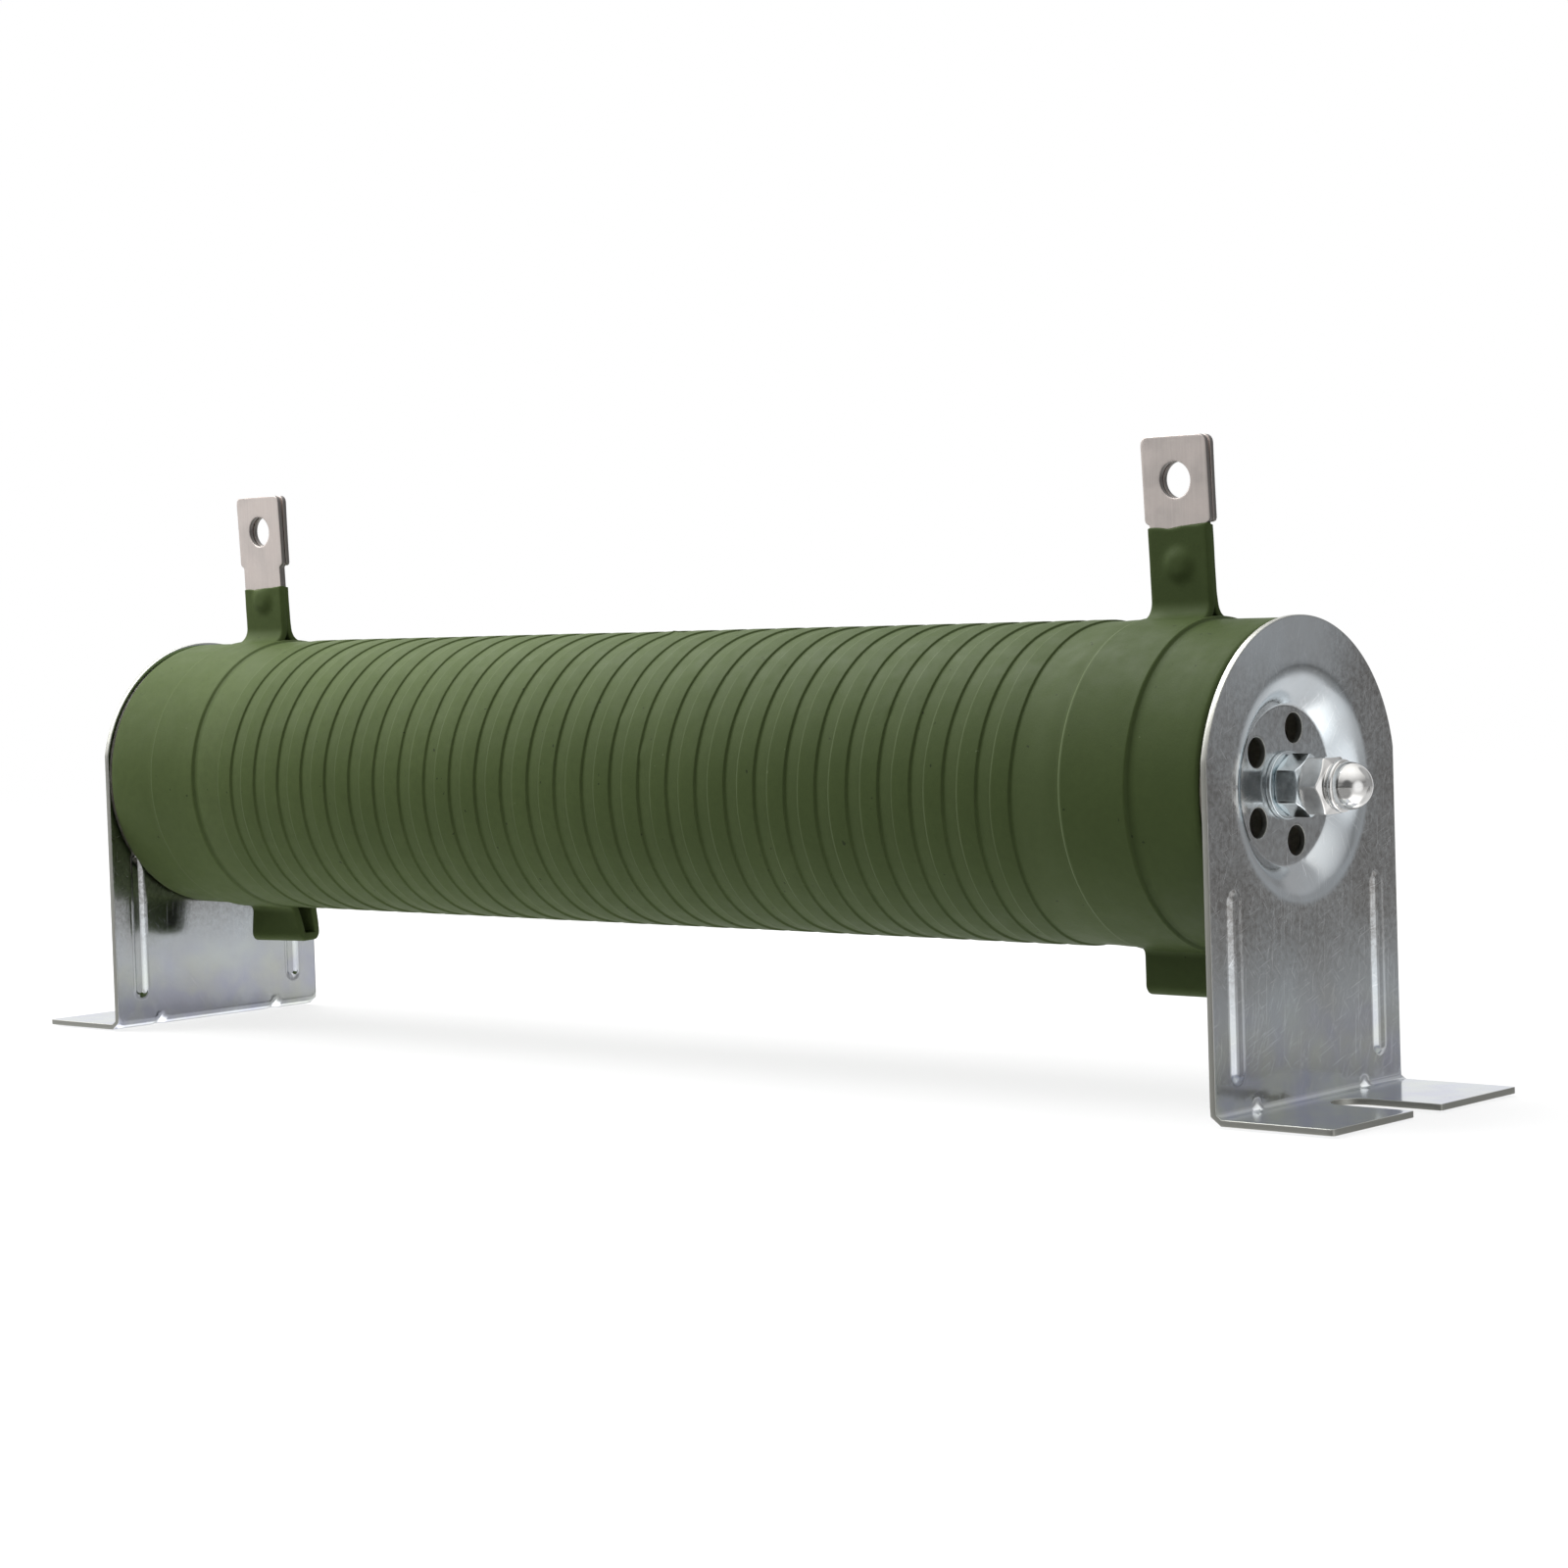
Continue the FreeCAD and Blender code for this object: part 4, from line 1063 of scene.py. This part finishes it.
# Name, X, lean of the lug, height and half width of its neck's coat, the ear's shift, twist and lean
ENDS = (("right", BAND_X, 0.035, 103.9, 6.6, -2.6, 0.0, 0.0),
        ("left", -BAND_X, 0.045, 99.4, 6.3, 1.2, 0.22, 0.02))
LAYERS = (("front", -1, 0.12), ("back", 1, 0.22))
for end_name, end_x, lean, coat_top, cover_half, shift, twist, ear_lean in ENDS:
    for layer, side, splay in LAYERS:
        cover_vertices, cover_faces = neck_cover(side, end_x, coat_top, lean, cover_half)
        add_piece("neck_coat_%s_%s" % (layer, end_name), cover_vertices, cover_faces, GREEN,
                  "green_silicone")
        head_vertices, head_faces, head_rim = lug_layer(side, end_x, lean, splay)
        add_piece("lug_%s_%s" % (layer, end_name), head_vertices, head_faces, TINNED, "tinned_steel",
                  ["terminal_band_" + end_name, "terminal_lug_" + end_name], head_rim, SHEET_CREASE)
    ear_vertices, ear_faces = ear_cover(end_x, shift, twist, ear_lean)
    add_piece("ear_coat_" + end_name, ear_vertices, ear_faces, GREEN, "green_silicone")

# Brackets and hardware are alike at both ends, as mirror images
bracket_vertices, bracket_faces, bracket_rim = bracket_mesh()
HARDWARE = (("washer", washer_mesh(), ZINC_BRIGHT, "zinc_hardware"),
            ("hex_nut", hex_nut_mesh(), ZINC_BRIGHT, "zinc_hardware"),
            ("cap_nut", cap_nut_mesh(), NICKEL, "nickel_hardware"))
for end_name, side in (("right", 1), ("left", -1)):
    add_piece("bracket_sheet_" + end_name, on_side(bracket_vertices, side), bracket_faces, ZINC_SHEET,
              "zinc_steel", ["bracket_" + end_name], bracket_rim, SHEET_CREASE)
    for part_name, (part_vertices, part_faces), finish, slot_name in HARDWARE:
        add_piece("%s_turned_%s" % (part_name, end_name), on_side(part_vertices, side), part_faces,
                  finish, slot_name, ["%s_%s" % (part_name, end_name)], None, TURNED_CREASE)


# Stage, light and camera, in metres

FLOOR_RADIUS = 2.2
FLOOR_Z = -0.0004
FLOOR_SIDES = 96

# Brightness of the studio by height, from straight down at 0 to straight up at 1
LEVELS = ((0.22, 0.80), (0.40, 0.36), (0.56, 0.36), (0.62, 0.28), (0.75, 0.72))
LEVEL_DOWN = 3.0
LEVEL_UP = 1.5

# Dark front edge of a table: distance below level, half height with and without its blur, and Y
EDGE_BELOW_LEVEL = 0.062
EDGE_BLURRED, EDGE_FULL = 0.058, 0.030
EDGE_ENDS_Y, EDGE_FULL_Y = -0.62, -0.78

# Panels of the studio: direction, cosines from which it fades in and is full, brightness
PANELS = [((-0.62, 0.76, 0.08), 0.76, 0.95, 0.92), ((0.56, 0.82, 0.12), 0.90, 0.965, 0.39),
          ((0.54, 0.79, -0.30), 0.966, 0.982, 0.03), ((0.35, 0.72, -0.60), 0.89, 0.985, 0.60),
          ((0.30, 0.74, 0.52), 0.92, 0.97, 0.52), ((0.10, -0.86, -0.50), 0.74, 0.92, 0.05),
          ((0.97, -0.22, -0.04), 0.84, 0.985, 1.15), ((-0.64, -0.50, 0.58), 0.88, 0.96, 1.1),
          ((-0.74, -0.40, -0.55), 0.90, 0.97, 1.0), ((-0.60, -0.79, 0.03), 0.94, 0.98, 0.08),
          ((0.40, -0.90, 0.16), 0.88, 0.98, 0.15)]


def studio_floor():
    """Pale round floor that fades out into the backdrop."""
    bearings = [TURN * k / FLOOR_SIDES for k in range(FLOOR_SIDES)]
    mesh = bpy.data.meshes.new("studio_floor")
    mesh.from_pydata([(FLOOR_RADIUS * math.cos(a), FLOOR_RADIUS * math.sin(a), FLOOR_Z) for a in bearings],
                     [], [range(FLOOR_SIDES)])
    pale = Finish("pale_floor", Roughness=0.7, Base_Color=(0.86, 0.86, 0.86, 1))
    source = pale.add("ShaderNodeTexCoord").outputs["Object"]
    distance = pale.add("ShaderNodeVectorMath", (source, 0), operation="LENGTH").outputs["Value"]
    clear = pale.add("ShaderNodeBsdfTransparent")
    blend = pale.add("ShaderNodeMixShader", (pale.fade(distance, 0.35, 1.3, 0.78), 0),
                     (pale.shader.outputs[0], 1), (clear.outputs[0], 2))
    pale.tree.links.new(blend.outputs[0], pale.tree.nodes["Material Output"].inputs["Surface"])
    mesh.materials.append(pale.material)
    floor = add_object("studio_floor", mesh)


def studio_world():
    """White backdrop; reflections see panels, a pale floor below and a table's dark front edge."""
    world = bpy.data.worlds.new("studio")
    bpy.context.scene.world = world
    world.use_nodes = True
    sky = Nodes(world.node_tree)
    source = sky.add("ShaderNodeTexCoord").outputs["Generated"]
    direction = sky.add("ShaderNodeSeparateXYZ", (source, 0)).outputs
    levels = sky.add("ShaderNodeValToRGB", (sky.stretch(direction["Z"], -1.0, 1.0), 0))
    stops = levels.color_ramp.elements
    stops[0].color = (LEVEL_DOWN, LEVEL_DOWN, LEVEL_DOWN, 1)
    stops[1].color = (LEVEL_UP, LEVEL_UP, LEVEL_UP, 1)
    for position, level in LEVELS:
        stops.new(position).color = (level, level, level * 1.01, 1)
    studio = levels.outputs[0]
    for towards, outer, inner, level in PANELS:
        facing = sky.add("ShaderNodeVectorMath", (source, 0), operation="DOT_PRODUCT")
        facing.inputs[1].default_value = Vector(towards).normalized()
        share = sky.fade(facing.outputs["Value"], outer, inner)
        studio = sky.mix(share, studio, (level, level * 1.01, level * 1.03))
    off_edge = sky.maths("ABSOLUTE", sky.maths("ADD", direction["Z"], EDGE_BELOW_LEVEL))
    edge = sky.times(sky.fade(off_edge, EDGE_BLURRED, EDGE_FULL),
                     sky.fade(direction["Y"], EDGE_ENDS_Y, EDGE_FULL_Y))
    studio = sky.mix(edge, studio, (0.08, 0.08, 0.078))
    camera_ray = sky.add("ShaderNodeLightPath").outputs["Is Camera Ray"]
    backdrop = sky.mix(camera_ray, studio, (1.0, 1.0, 1.0))
    sky.tree.links.new(backdrop, sky.tree.nodes["Background"].inputs["Color"])


def softbox(name, place_at, target, size, power):
    light = bpy.data.lights.new(name, "AREA")
    light.shape = "RECTANGLE"
    light.size, light.size_y = size
    light.energy = power
    lamp = add_object(name, light)
    lamp.location = place_at
    direction = Vector(target) - Vector(place_at)
    lamp.rotation_euler = direction.to_track_quat("-Z", "Y").to_euler()


def photo_camera():
    """Camera at the photograph's angle: from the front right, looking slightly down, a little rolled."""
    data = bpy.data.cameras.new("photo_camera")
    data.sensor_width = 36.0
    data.lens = 83.5987
    data.shift_x = 0.035146
    data.shift_y = -0.022106
    camera = add_object("photo_camera", data)
    camera.location = (0.51079, -0.54492, 0.09314)
    camera.rotation_euler = [math.radians(a) for a in (87.6569, 1.8993, 42.2989)]
    bpy.context.scene.camera = camera


bpy.context.scene.view_settings.view_transform = "Standard"
studio_floor()
studio_world()
softbox("top_softbox", (-0.50, -0.02, 0.92), (-0.06, 0, 0.05), (0.9, 0.6), 15.0)
softbox("left_softbox", (-0.85, -0.45, 0.58), (-0.05, 0, 0.06), (0.4, 0.6), 4.9)
photo_camera()
